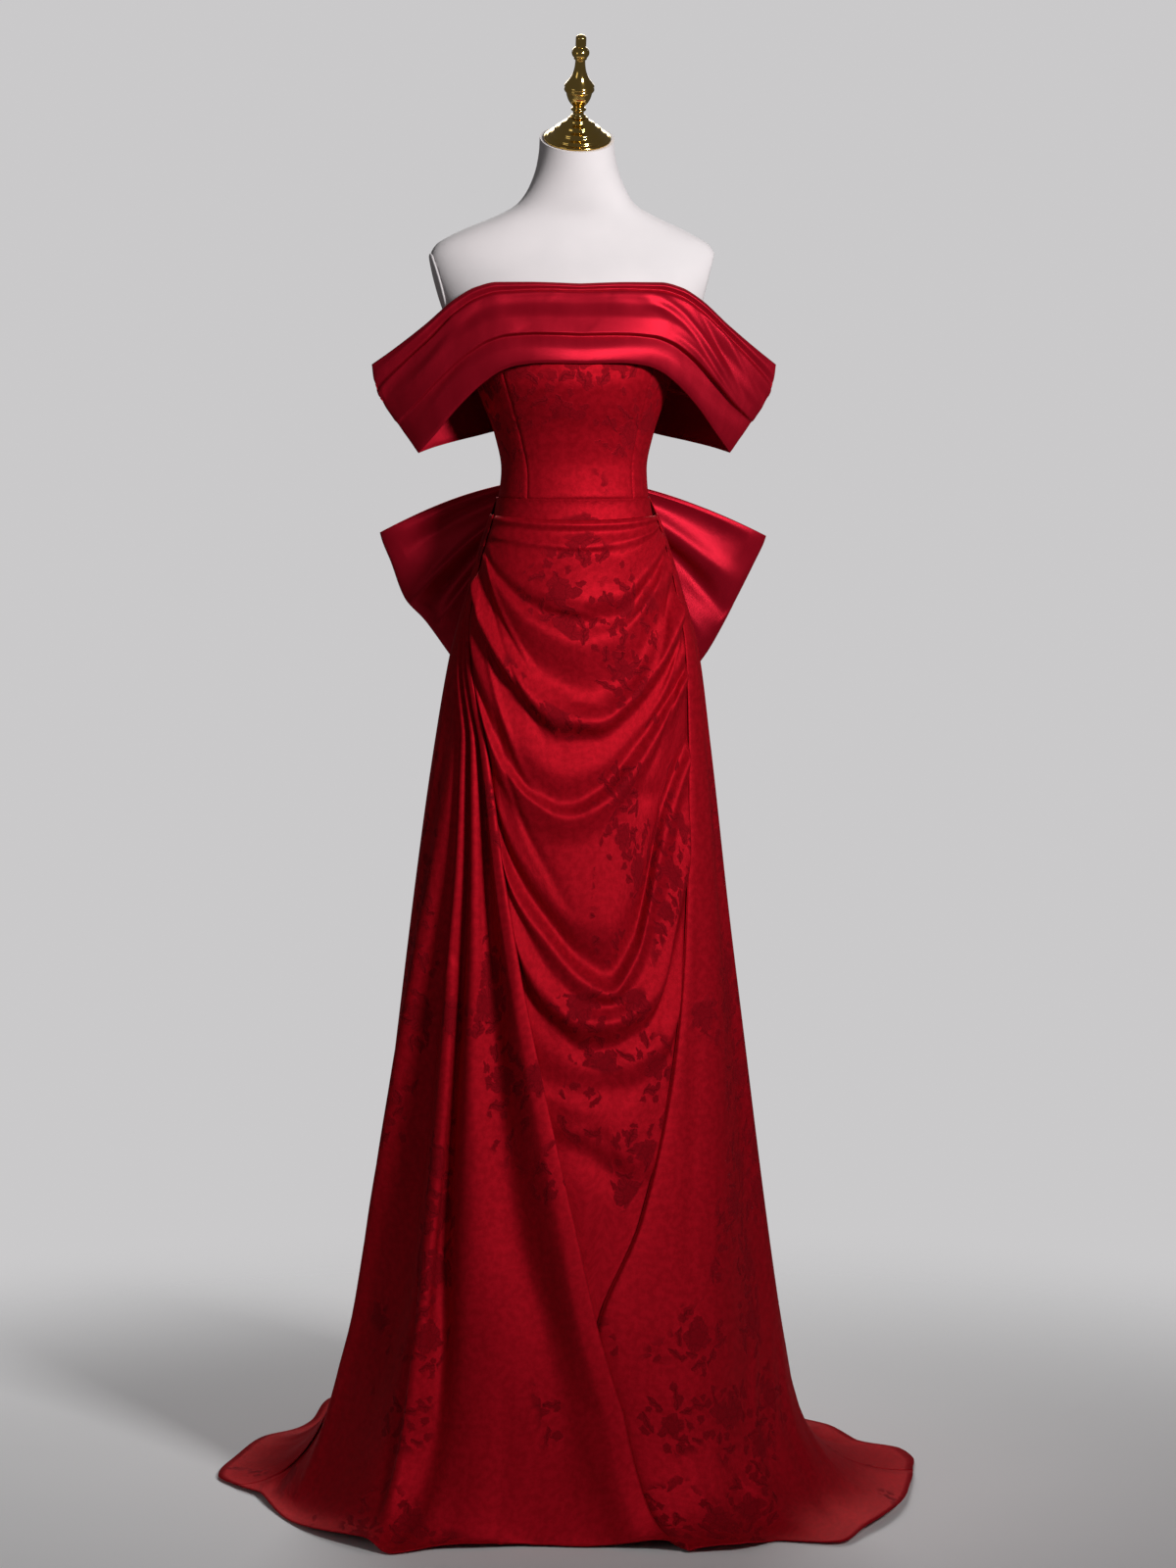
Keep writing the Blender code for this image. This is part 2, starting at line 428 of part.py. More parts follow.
def valley_surface(angle, height):
    """The skirt without folds: sections above the flare, then a bend out to the hem."""
    top = section_point(angle, np.maximum(height, FLARE))
    knee = section_point(angle, np.full_like(angle, FLARE))
    slope = (knee - section_point(angle, np.full_like(angle, FLARE + 0.01))) / 0.01
    drop = FLARE - HEM_REST
    corner = knee + slope * drop
    reach = np.hypot(corner[..., 0], corner[..., 1])
    compass = np.degrees(np.arctan2(corner[..., 0], -corner[..., 1]))
    end_reach = hem["reach"](compass)
    ray = corner[..., :2] / reach[..., None]
    corner_reach = np.minimum(reach, end_reach - 0.001)
    corner = np.concatenate([ray * corner_reach[..., None], corner[..., 2:]], -1)
    end = np.concatenate([ray * end_reach[..., None], corner[..., 2:]], -1)
    t = np.clip(1 - height / FLARE, 0, 1)[..., None]
    bent = knee * (1 - t) ** 2 + corner * 2 * t * (1 - t) + end * t * t
    return np.where((height < FLARE)[..., None], bent, top)


def folded(angle, height, rise):
    """A point of the skirt, rise millimetres off the valley surface."""
    facing = normals(valley_surface, angle, height, 0.5, 0.001)
    return valley_surface(angle, height) + facing * (rise * MM)[..., None]


def pleated_surface(line, height):
    """The skirt beside and behind the draped panel, by fold line and height."""
    height = height + 0 * line
    return folded(across_lines(angle_by_line, line, height), height,
                  across_lines(rise_by_line, line, height))


def drape_height(across, tier):
    return across_lines(height_by_column, column_number(across), tier)


def drape_spacing(across, tier):
    return drape_height(across, tier - 0.5) - drape_height(across, tier + 0.5)


def drape_surface(across, tier):
    """The draped panel between the overlap and the right front; across runs from -1 to 1."""
    height = drape_height(across, tier)
    first = angle_by_line[LINE["overlap_foot"]](height) + DRAPE_GAP
    last = angle_by_line[LINE["right_foot"]](height) - DRAPE_GAP
    angle = (first + last) * 0.5 + (last - first) * 0.5 * across
    left_share = np.clip(-across / RISE_SIDES, 0, 1)
    right_share = np.clip(across / RISE_SIDES, 0, 1)
    rise = (swag["rise_mid"](tier) * (1 - left_share - right_share)
            + swag["rise_left"](tier) * left_share + swag["rise_right"](tier) * right_share)
    spacing = drape_spacing(across, tier) / drape_spacing(across * 0, tier)
    fade = np.clip((1 - np.abs(across)) / TUCK, 0, 1)
    share = np.clip(spacing, 0, 1) ** NARROWING * fade * fade * (3 - 2 * fade)
    return folded(angle, height, rise * share)


def band_surface(side):
    """One half of the shoulder band: across in degrees from sleeve end to sleeve end."""
    sign = -1 if side == "front" else 1

    def base(across, down):
        turn = np.radians(across)
        out = np.abs(np.sin(turn))
        ahead = np.cos(turn)
        top, low = band_edges[side + "_top"](out), band_edges[side + "_low"](out)
        depth = band_plan[side](down) - BAND_FOLD
        x = BAND_MIDDLE + band_plan["end"](down) * np.sin(turn)
        y = sign * (depth * (1 - out ** BAND_BULGE) * np.sign(ahead) + BAND_FOLD * ahead)
        return np.stack([x, y, top + (low - top) * down], -1)

    def surface(across, row):
        out = np.abs(np.sin(np.radians(across)))
        share = out * out
        down = pleat["at_middle"](row) * (1 - share) + pleat["at_end"](row) * share
        rise = pleat["rise_middle"](row) * (1 - share) + pleat["rise_end"](row) * share
        if side == "back":
            rise = rise * BACK_RISE
        facing = normals(base, across, down, 0.5, 0.01) * sign
        return base(across, down) + facing * (rise * MM)[..., None]
    return surface


def wing_surface(side):
    """One loop of the bow: along its path, and across the ribbon from top to bottom."""
    def surface(step, across):
        out, half, back = loop["out"](step), loop["half_open"](step), loop["back"](step)
        root_x = BOW_MIDDLE + (KNOT_HALF[0] + ROOT_GAP) * (-1 if side == "left" else 1)
        end_x, end_z = wing[side + "_x"](across), wing[side + "_z"](across)
        x = root_x + (end_x - root_x) * out
        z = wing["root_z"](across) + (end_z - wing["root_z"](across)) * out
        sag = LOOP_LIFT * np.sin(np.pi * out)
        ridge = wing["ridge"](across) * MM * np.sin(np.pi * np.clip(out, 0, 1)) * np.sign(half)
        y = BOW_DEPTH + back + half + ridge * np.minimum(np.abs(half) / RIDGE_REACH, 1)
        return np.stack([x, y, z + sag], -1)
    return surface


# Solids

def material(name, colour, roughness, metallic=0.0):
    made = bpy.data.materials.get(name)
    if made is None:
        made = bpy.data.materials.new(name)
        made.use_nodes = True
        shader = made.node_tree.nodes["Principled BSDF"]
        shader.inputs["Base Color"].default_value = (*colour, 1.0)
        shader.inputs["Roughness"].default_value = roughness
        shader.inputs["Metallic"].default_value = metallic
    return made


def add_object(name, bm, finish):
    """Turns a closed bmesh the right way out and links it as a named object."""
    bmesh.ops.recalc_face_normals(bm, faces=bm.faces)
    if bm.calc_volume(signed=True) < 0:
        bmesh.ops.reverse_faces(bm, faces=bm.faces)
    mesh = bpy.data.meshes.new(name)
    bm.to_mesh(mesh)
    bm.free()
    mesh.shade_smooth()
    mesh.set_sharp_from_angle(angle=math.radians(40))
    mesh.materials.append(finish)
    obj = bpy.data.objects.new(name, mesh)
    bpy.context.collection.objects.link(obj)
    return obj


def even_inset(grid, thickness):
    """Moves a grid of points inward by the same thickness off every one of its cells."""
    facing = unit(np.cross(grid[1:, 1:] - grid[:-1, :-1], grid[1:, :-1] - grid[:-1, 1:]))
    corners = [(rows, cols) for rows in (slice(0, -1), slice(1, None))
               for cols in (slice(0, -1), slice(1, None))]
    mean = np.zeros_like(grid)
    for corner in corners:
        mean[corner] += facing
    mean = unit(mean)
    lean = np.ones(grid.shape[:2])
    for corner in corners:
        lean[corner] = np.minimum(lean[corner], (mean[corner] * facing).sum(-1))
    return grid - mean * (thickness / np.maximum(lean, MITRE))[..., None]


def cloth_wall(name, surface, us, vs, finish, outward, gaps=(0, 0, 0, 0), step=(0.02, 0.02),
               sewn=(True, True)):
    """Closed wall of cloth over a surface. gaps: start and end in u, start and end in v.

    outward is 1 where u crossed with v points out of the garment, and -1 where it points in.
    sewn: whether the first and the last column lie along a seam, where the wall's edge face
    follows the surface that runs on beyond it.
    """
    u, v = np.meshgrid(np.asarray(us, float), np.asarray(vs, float))
    outer = surface(u, v)
    outer[:, 0] += unit(outer[:, 1] - outer[:, 0]) * gaps[0]
    outer[:, -1] += unit(outer[:, -2] - outer[:, -1]) * gaps[1]
    outer[0] += unit(outer[1] - outer[0]) * gaps[2]
    outer[-1] += unit(outer[-2] - outer[-1]) * gaps[3]
    inner = even_inset(outer, outward * np.sign(v[-1, 0] - v[0, 0]) * CLOTH)
    for column, along_seam in zip((0, -1), sewn):
        if along_seam:
            facing = normals(surface, u[:, column], v[:, column], *step) * outward
            inner[:, column] = outer[:, column] - facing * CLOTH
    inner[..., 2] = np.maximum(inner[..., 2], HEM_REST - CLOTH)
    bm = bmesh.new()
    rows, cols = u.shape
    face_out = [[bm.verts.new(outer[r, c]) for c in range(cols)] for r in range(rows)]
    face_in = [[bm.verts.new(inner[r, c]) for c in range(cols)] for r in range(rows)]
    for r in range(rows - 1):
        for c in range(cols - 1):
            bm.faces.new((face_out[r][c], face_out[r][c + 1],
                          face_out[r + 1][c + 1], face_out[r + 1][c]))
            bm.faces.new((face_in[r][c], face_in[r + 1][c],
                          face_in[r + 1][c + 1], face_in[r][c + 1]))
    rim_out = outline(face_out)
    rim_in = outline(face_in)
    for k in range(len(rim_out)):
        after = (k + 1) % len(rim_out)
        bm.faces.new((rim_out[k], rim_in[k], rim_in[after], rim_out[after]))
    return add_object(name, bm, finish)


def outline(grid):
    """The grid's outer vertices in order round its edge."""
    top = grid[0]
    right = [row[-1] for row in grid[1:]]
    low = grid[-1][-2::-1]
    left = [row[0] for row in grid[-2:0:-1]]
    return top + right + low + left


def turned(name, profile, finish, sides, place=None):
    """A profile of (radius, height) spun about its axis, then placed by a matrix."""
    bm = bmesh.new()
    ring = [bm.verts.new((radius, 0.0, height)) for radius, height in profile]
    edges = [bm.edges.new(pair) for pair in zip(ring, ring[1:])]
    bmesh.ops.spin(bm, geom=ring + edges, axis=(0, 0, 1), cent=(0, 0, 0),
                   steps=sides, angle=2 * math.pi, use_merge=True)
    bmesh.ops.remove_doubles(bm, verts=bm.verts, dist=0.00001)
    if place is not None:
        bmesh.ops.transform(bm, matrix=place, verts=bm.verts)
    return add_object(name, bm, finish)


def cut_away(bm, point, facing):
    """Removes what lies beyond a plane, closes the cut and returns the closing face's corners."""
    geometry = bm.verts[:] + bm.edges[:] + bm.faces[:]
    cut = bmesh.ops.bisect_plane(bm, geom=geometry, plane_co=point, plane_no=facing,
                                 clear_outer=True)
    edges = [item for item in cut["geom_cut"] if isinstance(item, bmesh.types.BMEdge)]
    closing = bmesh.ops.contextual_create(bm, geom=edges)["faces"][0]
    return [vert.co.copy() for vert in closing.verts]


def cap_axis():
    return Vector((0, -math.sin(CAP_TILT), math.cos(CAP_TILT)))


def cap_centre():
    """Middle of the slanted neck top."""
    y = (float(form["back"](NECK_TOP)) - float(form["front"](NECK_TOP))) / 2
    return Vector((NECK_MIDDLE, y, NECK_TOP))


def armhole_plane(sign):
    """Point and outward direction of an armhole's cut."""
    level = math.cos(SHOULDER_SLANT)
    facing = Vector((sign * level * math.cos(SHOULDER_TURN), -level * math.sin(SHOULDER_TURN),
                     -math.sin(SHOULDER_SLANT)))
    return Vector((sign * SHOULDER_CUT[0] + SHOULDER_MIDDLE, 0, SHOULDER_CUT[1])), facing


def dress_form(finish, sides=36):
    """The torso: oval sections, a flat bottom, and flat cuts at the neck and the armholes.

    Returns the corners of the left and the right armhole.
    """
    heights = sorted({row.z for row in FORM if not FIT_HEIGHTS[0] < row.z < FIT_HEIGHTS[-1]}
                     | set(FIT_HEIGHTS))
    angles = np.arange(sides) * 360.0 / sides
    bm = bmesh.new()
    rings = []
    for z in heights:
        points = form_surface(angles, np.full(sides, z))
        rings.append([bm.verts.new(point) for point in points])
    for low, high in zip(rings, rings[1:]):
        for k in range(sides):
            after = (k + 1) % sides
            bm.faces.new((low[k], low[after], high[after], high[k]))
    bm.faces.new(rings[0])
    bm.faces.new(rings[-1])
    bmesh.ops.recalc_face_normals(bm, faces=bm.faces)
    cut_away(bm, cap_centre(), cap_axis())
    armholes = [cut_away(bm, *armhole_plane(sign)) for sign in (-1, 1)]
    bmesh.ops.triangulate(bm, faces=bm.faces)
    add_object("form_torso", bm, finish)
    return armholes


def armhole_plate(name, corners, facing, finish):
    """Thin plate that closes an armhole, just off the form's cut and as wide as it."""
    kept = [corner for corner, before in zip(corners, corners[-1:] + corners[:-1])
            if (corner - before).length > PLATE_CORNER]
    middle = sum(kept, Vector()) / len(kept)
    bm = bmesh.new()
    seat = [bm.verts.new(corner + facing * SEAM) for corner in kept]
    made = bmesh.ops.extrude_face_region(bm, geom=[bm.faces.new(seat)])
    for item in made["geom"]:
        if isinstance(item, bmesh.types.BMVert):
            item.co = middle + (item.co - middle) * PLATE_FACE + facing * PLATE_THICK
    return add_object(name, bm, finish)


def knot(finish):
    """The wrapped knot: a rounded upright block with two soft pleats."""
    bm = bmesh.new()
    bmesh.ops.create_uvsphere(bm, u_segments=16, v_segments=10, radius=1.0)
    middle = Vector((BOW_MIDDLE, BOW_DEPTH, BOW_HEIGHT))
    for vert in bm.verts:
        x, y, z = vert.co
        flat = [math.copysign(abs(value) ** KNOT_SQUARE, value) for value in (x, y, z)]
        wave = math.cos(KNOT_WAVE * flat[0])
        pinch = 1 - KNOT_PLEAT * wave * wave * max(y, 0)
        vert.co = middle + Vector((flat[0] * KNOT_HALF[0], flat[1] * KNOT_HALF[1] * pinch,
                                   flat[2] * KNOT_HALF[2]))
    return add_object("bow_knot", bm, finish)


def bodice(finish):
    """Centre front, side fronts and backs, fitted to the form."""
    shell = clothed_form(FORM_EASE + CLOTH)

    def top(angle):
        return BODICE_TOP + BODICE_PEAK * np.clip(np.cos(np.radians(angle)), 0, 1) ** 2

    levels = [z for z in FIT_HEIGHTS if z >= WAIST]
    steps = Curve(list(range(len(levels))), levels)

    def panel(first, last):
        def surface(share, row):
            z = np.where(row <= len(levels) - 1, steps(row), levels[-1])
            start, end = first(z), last(z)
            angle = start + (end - start) * share
            above = np.clip(row - (len(levels) - 1), 0, 1)
            return shell(angle, z + (top(angle) - z) * above)
        return surface

    def fixed(angle):
        return lambda z: np.full_like(z, float(angle))

    panels = (
        ("bodice_front_centre", princess["left"], princess["right"], 9),
        ("bodice_front_side_left", fixed(-92), princess["left"], 5),
        ("bodice_front_side_right", princess["right"], fixed(92), 5),
        ("bodice_back_left", fixed(-180), fixed(-92), 8),
        ("bodice_back_right", fixed(92), fixed(180), 8),
    )
    for name, first, last, cells in panels:
        cloth_wall(name, panel(first, last), np.linspace(0, 1, cells + 1),
                   np.arange(len(levels) + 1.0),
                   finish, 1, gaps=(SEAM / 2, SEAM / 2, SEAM, 0))


def skirt_pieces(finish):
    """Yoke strip, draped panel, the two side fronts and the two trained backs."""
    hug = clothed_form(FORM_EASE + CLOTH)
    cloth_wall("hip_yoke", hug, np.linspace(-88, 88, 19), np.array(FIT_HEIGHTS[3::-1]),
               finish, 1, gaps=(SEAM, SEAM, 0, 0), step=(0.5, 0.002))
    drape_tiers = ladder(SWAGS, 0, TIER["wedge_end"])
    across = np.array([-1, -.92, -.82, -.68, -.52, -.36, -.2, -.07, .07, .2, .36, .52, .68, .82,
                       .92, 1])
    cloth_wall("skirt_drape", drape_surface, across, drape_tiers, finish, -1, step=(0.01, 0.02))
    heights = np.array(FRONT_HEIGHTS)
    cloth_wall("skirt_front_left", pleated_surface,
               ladder(FOLDS, LINE["side_left"], LINE["overlap_foot"]), heights, finish, 1,
               gaps=(SIDE_GAP, SIDE_GAP, 0, 0), step=(0.02, 0.001), sewn=(True, False))
    cloth_wall("skirt_front_right", pleated_surface,
               ladder(FOLDS, LINE["right_foot"], LINE["side_right"]), heights, finish, 1,
               gaps=(SIDE_GAP, SIDE_GAP, 0, 0), step=(0.02, 0.001), sewn=(False, True))
    heights = np.array(BACK_HEIGHTS)
    cloth_wall("skirt_back_left", pleated_surface,
               ladder(FOLDS, LINE["centre_back_left"], LINE["side_left"]), heights, finish, 1,
               gaps=(SIDE_GAP, SIDE_GAP, 0, 0), step=(0.02, 0.001))
    cloth_wall("skirt_back_right", pleated_surface,
               ladder(FOLDS, LINE["side_right"], LINE["centre_back_right"]), heights, finish, 1,
               gaps=(SIDE_GAP, SIDE_GAP, 0, 0), step=(0.02, 0.001))


def shoulder_band(finish):
    """Pleated front and back of the off-shoulder band, joined at the sleeve ends."""
    rows = ladder(PLEATS, 0, len(PLEATS) - 1)
    across = np.array([-90, -84, -75, -65, -54, -43, -32, -16, 0, 16, 32, 43, 54, 65, 75, 84, 90])
    for side, outward in (("front", -1), ("back", 1)):
        cloth_wall("band_" + side, band_surface(side), across, rows, finish, outward,
                   gaps=(SEAM / 2, SEAM / 2, 0, 0), step=(0.3, 0.02))


def bow(finish):
    """Two open loops and the knot at the back waist."""
    steps = np.array([0, .6, 1.3, 2, 2.7, 3.3, 3.75, 4.25, 4.7, 5.3, 6, 6.7, 7.4, 8])
    across = np.array([0, .07, .2, .32, .45, .54, .62, .71, .8, .9, 1])
    for side, outward in (("left", 1), ("right", -1)):
        cloth_wall("bow_loop_" + side, wing_surface(side), steps, across, finish, outward,
                   step=(0.05, 0.02), sewn=(False, False))
    knot(finish)


def hardware():
    """Brass cap and finial, and the plain stand."""
    brass = material("brass", BRASS, 0.16, 1.0)
    lean = Matrix.Rotation(CAP_TILT, 4, "X")
    seat = Matrix.Translation(cap_centre() + cap_axis() * SEAM) @ lean
    turned("neck_cap", CAP_PROFILE, brass, 22, seat)
    turned("finial", FINIAL_PROFILE, brass, 12, seat)
    steel = material("stand_metal", STEEL, 0.35, 1.0)
    top = FORM_BOTTOM - SEAM
    foot = BASE_HEIGHT + SEAM
    turned("stand_pole", ((0, foot), (POLE_RADIUS, foot), (POLE_RADIUS, top), (0, top)), steel, 20)
    black = material("stand_black", BLACK, 0.45)
    turned("stand_base", ((0, 0), (BASE_RADIUS - BASE_FOOT, 0), (BASE_RADIUS, BASE_FOOT),
                          (BASE_RADIUS, BASE_HEIGHT - BASE_EDGE),
                          (BASE_RADIUS - BASE_EDGE, BASE_HEIGHT), (0, BASE_HEIGHT)), black, 32)


def clear_scene():
    for obj in list(bpy.data.objects):
        bpy.data.objects.remove(obj, do_unlink=True)


def main():
    clear_scene()
    cover = material("form_cover", COVER, 0.8)
    satin = material("satin", SATIN, 0.35)
    jacquard = material("jacquard", JACQUARD, 0.5)
    armholes = dress_form(cover)
    for name, sign, corners in zip(("arm_plate_left", "arm_plate_right"), (-1, 1), armholes):
        armhole_plate(name, corners, armhole_plane(sign)[1], cover)
    hardware()
    bodice(jacquard)
    skirt_pieces(jacquard)
    shoulder_band(satin)
    bow(satin)


main()
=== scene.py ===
# %% [markdown]
# # An off-shoulder satin gown on a dress form
# The gown is cut from heavy red satin, part of it woven with flowers, and stands on a padded form
# with a brass finial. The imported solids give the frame: every piece here is laid over one of them,
# finer and with its real finish. We start by loading that frame and keeping its size.

# %% The frame
import math
from collections import namedtuple

import bmesh
import bpy
import numpy as np
from mathutils import Matrix, Vector


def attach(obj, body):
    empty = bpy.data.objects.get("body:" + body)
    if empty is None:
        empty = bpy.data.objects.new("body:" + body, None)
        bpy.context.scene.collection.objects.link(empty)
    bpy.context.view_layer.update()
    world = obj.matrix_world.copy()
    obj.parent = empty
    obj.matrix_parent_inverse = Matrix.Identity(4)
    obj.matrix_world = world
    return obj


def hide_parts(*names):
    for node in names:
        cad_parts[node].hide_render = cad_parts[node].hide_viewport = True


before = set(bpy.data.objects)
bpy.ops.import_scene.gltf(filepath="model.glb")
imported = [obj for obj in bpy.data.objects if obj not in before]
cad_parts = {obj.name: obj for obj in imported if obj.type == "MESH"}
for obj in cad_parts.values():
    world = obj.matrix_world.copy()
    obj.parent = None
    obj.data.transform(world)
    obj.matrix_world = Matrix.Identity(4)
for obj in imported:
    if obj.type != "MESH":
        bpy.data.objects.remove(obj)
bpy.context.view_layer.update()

# %% [markdown]
# ## Where the viewer stands
# The picture is taken from chest height, a little to the left of the gown, with a long lens. A long
# lens keeps the hem and the shoulders in the same proportion. The sensor's 36 mm run along the
# picture's height, so the lens is worked out from the height.

# %% Camera
VIEW_TURN = math.radians(-5.0)
VIEW_DISTANCE, VIEW_HEIGHT = 5.8, 1.455
VIEW_DOWN = math.radians(5.05)
VIEW_ASIDE = 0.0154         # the camera's offset to its own right
PICTURE_HEIGHT = 1600
PIXELS_PER_RADIAN = 4524

lens = bpy.data.cameras.new("view")
lens.sensor_width = 36.0
lens.lens = lens.sensor_width * PIXELS_PER_RADIAN / PICTURE_HEIGHT
camera = bpy.data.objects.new("view", lens)
bpy.context.scene.collection.objects.link(camera)
camera.location = (VIEW_DISTANCE * math.sin(VIEW_TURN) + VIEW_ASIDE * math.cos(VIEW_TURN),
                   -VIEW_DISTANCE * math.cos(VIEW_TURN) + VIEW_ASIDE * math.sin(VIEW_TURN),
                   VIEW_HEIGHT)
camera.rotation_euler = (math.pi / 2 - VIEW_DOWN, 0, VIEW_TURN)
bpy.context.scene.camera = camera
print("lens", round(lens.lens, 1), "mm")

# %% [markdown]
# ## Light
# Satin shows its folds by what it reflects. The main light stands high at the right, in front of
# the gown, and is narrowed to the bodice, so that the skirt darkens towards the hem. A weak light
# fills the left, and a wide one reaches the back and the train.

# %% Lights
def soft_light(name, place, aim, size, power, spread=180):
    """A square lamp that faces a point; a smaller spread, in degrees, keeps it to what it faces."""
    lamp = bpy.data.lights.new(name, "AREA")
    lamp.size = size
    lamp.energy = power
    lamp.spread = math.radians(spread)
    stand = bpy.data.objects.new(name, lamp)
    bpy.context.scene.collection.objects.link(stand)
    stand.location = place
    stand.rotation_euler = (Vector(aim) - Vector(place)).to_track_quat("-Z", "Y").to_euler()


soft_light("key", (1.9, -3.4, 2.85), (0, 0, 1.75), 0.75, 22, 58)
soft_light("fill", (-3.4, -3.0, 1.9), (0, 0, 1.1), 1.6, 7)
soft_light("back", (0.2, 3.9, 3.5), (0, 0.1, 1.0), 2.3, 78)
print("lights:", len(bpy.data.lights))

# %% [markdown]
# ## Room
# A world of one pale colour stands in for the walls. Its light stays dim, so that the valleys of
# the folds can go dark, and only what is seen behind the gown is bright. A Light Path node tells
# the two apart.

# %% Room
ROOM_GLOW, BACKDROP_GLOW = 0.085, 0.74
room = bpy.data.worlds.new("room")
bpy.context.scene.world = room
room.use_nodes = True
walls = room.node_tree.nodes["Background"]
walls.inputs["Color"].default_value = (0.80, 0.79, 0.80, 1)
path = room.node_tree.nodes.new("ShaderNodeLightPath")
level = room.node_tree.nodes.new("ShaderNodeMapRange")
level.inputs["To Min"].default_value = ROOM_GLOW
level.inputs["To Max"].default_value = BACKDROP_GLOW
room.node_tree.links.new(path.outputs["Is Camera Ray"], level.inputs["Value"])
room.node_tree.links.new(level.outputs["Result"], walls.inputs["Strength"])
bpy.context.scene.view_settings.view_transform = "Standard"
print("room glows", ROOM_GLOW, "and its backdrop", BACKDROP_GLOW)


# %% [markdown]
# ## A short way to wire a finish
# A finish is a small network of nodes. This helper makes a material and adds a node in one line,
# with its values or links given together, so that each finish below reads as a recipe.

# %% Recipe
class Recipe:
    """One finish: its material, its shader, and short ways to add and join nodes."""

    def __init__(self, name, **values):
        self.material = bpy.data.materials.new(name)
        self.material.use_nodes = True
        self.tree = self.material.node_tree
        self.shader = self.tree.nodes["Principled BSDF"]
        self.coat(**values)

    def feed(self, socket, value):
        """Links another node's output to a socket, or sets a plain value on it."""
        if isinstance(value, bpy.types.NodeSocket):
            self.tree.links.new(value, socket)
        else:
            socket.default_value = value

    def coat(self, **values):
        """Gives the shader its values; Base_Color stands for the socket Base Color."""
        for socket, value in values.items():
            self.feed(self.shader.inputs[socket.replace("_", " ")], value)

    def add(self, kind, values=None, **settings):
        node = self.tree.nodes.new("ShaderNode" + kind)
        for name, setting in settings.items():
            setattr(node, name, setting)
        for socket, value in (values or {}).items():
            self.feed(node.inputs[socket], value)
        return node

    def math(self, operation, *values):
        node = self.add("Math", operation=operation)
        for socket, value in zip(node.inputs, values):
            self.feed(socket, value)
        return node.outputs[0]

    def vector(self, operation, *values):
        node = self.add("VectorMath", operation=operation)
        for socket, value in zip(node.inputs, values):
            self.feed(socket, value)
        return node.outputs["Vector"]

    def scaled(self, vector, scale):
        node = self.add("VectorMath", {"Vector": vector, "Scale": scale}, operation="SCALE")
        return node.outputs["Vector"]

    def ramp(self, value, low, high, start=0.0, end=1.0):
        """Runs smoothly from start to end while value goes from low to high."""
        node = self.add("MapRange", {"Value": value, "From Min": low, "From Max": high,
                                     "To Min": start, "To Max": end},
                        interpolation_type="SMOOTHSTEP")
        return node.outputs["Result"]

    def blend(self, share, first, second):
        node = self.add("Mix", data_type="RGBA")
        for socket, value in zip((node.inputs[0], node.inputs[6], node.inputs[7]),
                                 (share, first, second)):
            self.feed(socket, value)
        return node.outputs[2]

    def noise(self, place, scale, detail=3.0, roughness=0.5):
        return self.add("TexNoise", {"Vector": place, "Scale": scale, "Detail": detail,
                                     "Roughness": roughness}).outputs["Fac"]

    def bump(self, height, distance, strength=1.0, under=None):
        """Tilts the surface by a height in metres, on top of the bump that is under it."""
        node = self.add("Bump", {"Height": height, "Distance": distance, "Strength": strength})
        if under is not None:
            self.feed(node.inputs["Normal"], under)
        return node.outputs["Normal"]

    def read(self, attribute):
        return self.add("Attribute", attribute_name=attribute).outputs["Fac"]


print("recipe helper ready")

# %% [markdown]
# ## Smooth curves through short tables
# Dressmakers draft with a few measured points and a curve between them. Each table below has named
# columns, and one curve runs through each column without swinging past its points.

# %% Curves
class Curve:
    """Smooth curve through a column of a table, which never swings past its rows."""

    def __init__(self, places, heights):
        self.x = np.asarray(places, float)
        self.y = np.asarray(heights, float)
        slope = np.diff(self.y) / np.diff(self.x)
        self.m = np.zeros_like(self.y)
        same = slope[:-1] * slope[1:] > 0
        mean = 2 * slope[:-1] * slope[1:] / np.where(same, slope[:-1] + slope[1:], 1.0)
        self.m[1:-1] = np.where(same, mean, 0.0)
        self.m[0], self.m[-1] = slope[0], slope[-1]

    def __call__(self, at):
        at = np.clip(np.asarray(at, float), self.x[0], self.x[-1])
        i = np.clip(np.searchsorted(self.x, at, side="right") - 1, 0, len(self.x) - 2)
        h = self.x[i + 1] - self.x[i]
        t = (at - self.x[i]) / h
        return (self.y[i] + (self.y[i + 1] - self.y[i]) * (3 - 2 * t) * t * t
                + h * t * (1 - t) * (self.m[i] * (1 - t) - self.m[i + 1] * t))


def columns(table, key):
    """One Curve for each column of a table of named rows, read against the column called key."""
    rows = sorted(table, key=lambda row: getattr(row, key))
    places = [getattr(row, key) for row in rows]
    fields = [name for name in rows[0]._fields if name not in (key, "name")]
    return {name: Curve(places, [getattr(row, name) for row in rows]) for name in fields}


def numbered(table, name):
    """One column read against the row's number, so 2.5 is halfway from row 2 to row 3."""
    return Curve(range(len(table)), [getattr(row, name) for row in table])


def unit(vectors):
    return vectors / np.maximum(np.linalg.norm(vectors, axis=-1, keepdims=True), 1e-12)


def normals(surface, u, v, step_u, step_v):
    """The way a surface function faces, from points a small step to either side."""
    along = surface(u + step_u, v) - surface(u - step_u, v)
    down = surface(u, v + step_v) - surface(u, v - step_v)
    return unit(np.cross(along, down))


print("curve helpers ready")

# %% [markdown]
# ## Measuring a sheet of cloth
# Every piece of cloth starts as a flat grid of points, each moved to its place in the hanging gown.
# Distances along the cloth then tell where its seams are and how much cloth a fold takes up.

# %% Cloth measures
MM = 0.001
SHEET = 0.0010              # thickness of a sheet of satin
NO_SEAM = 1.0               # distance that stands for no seam near, in metres


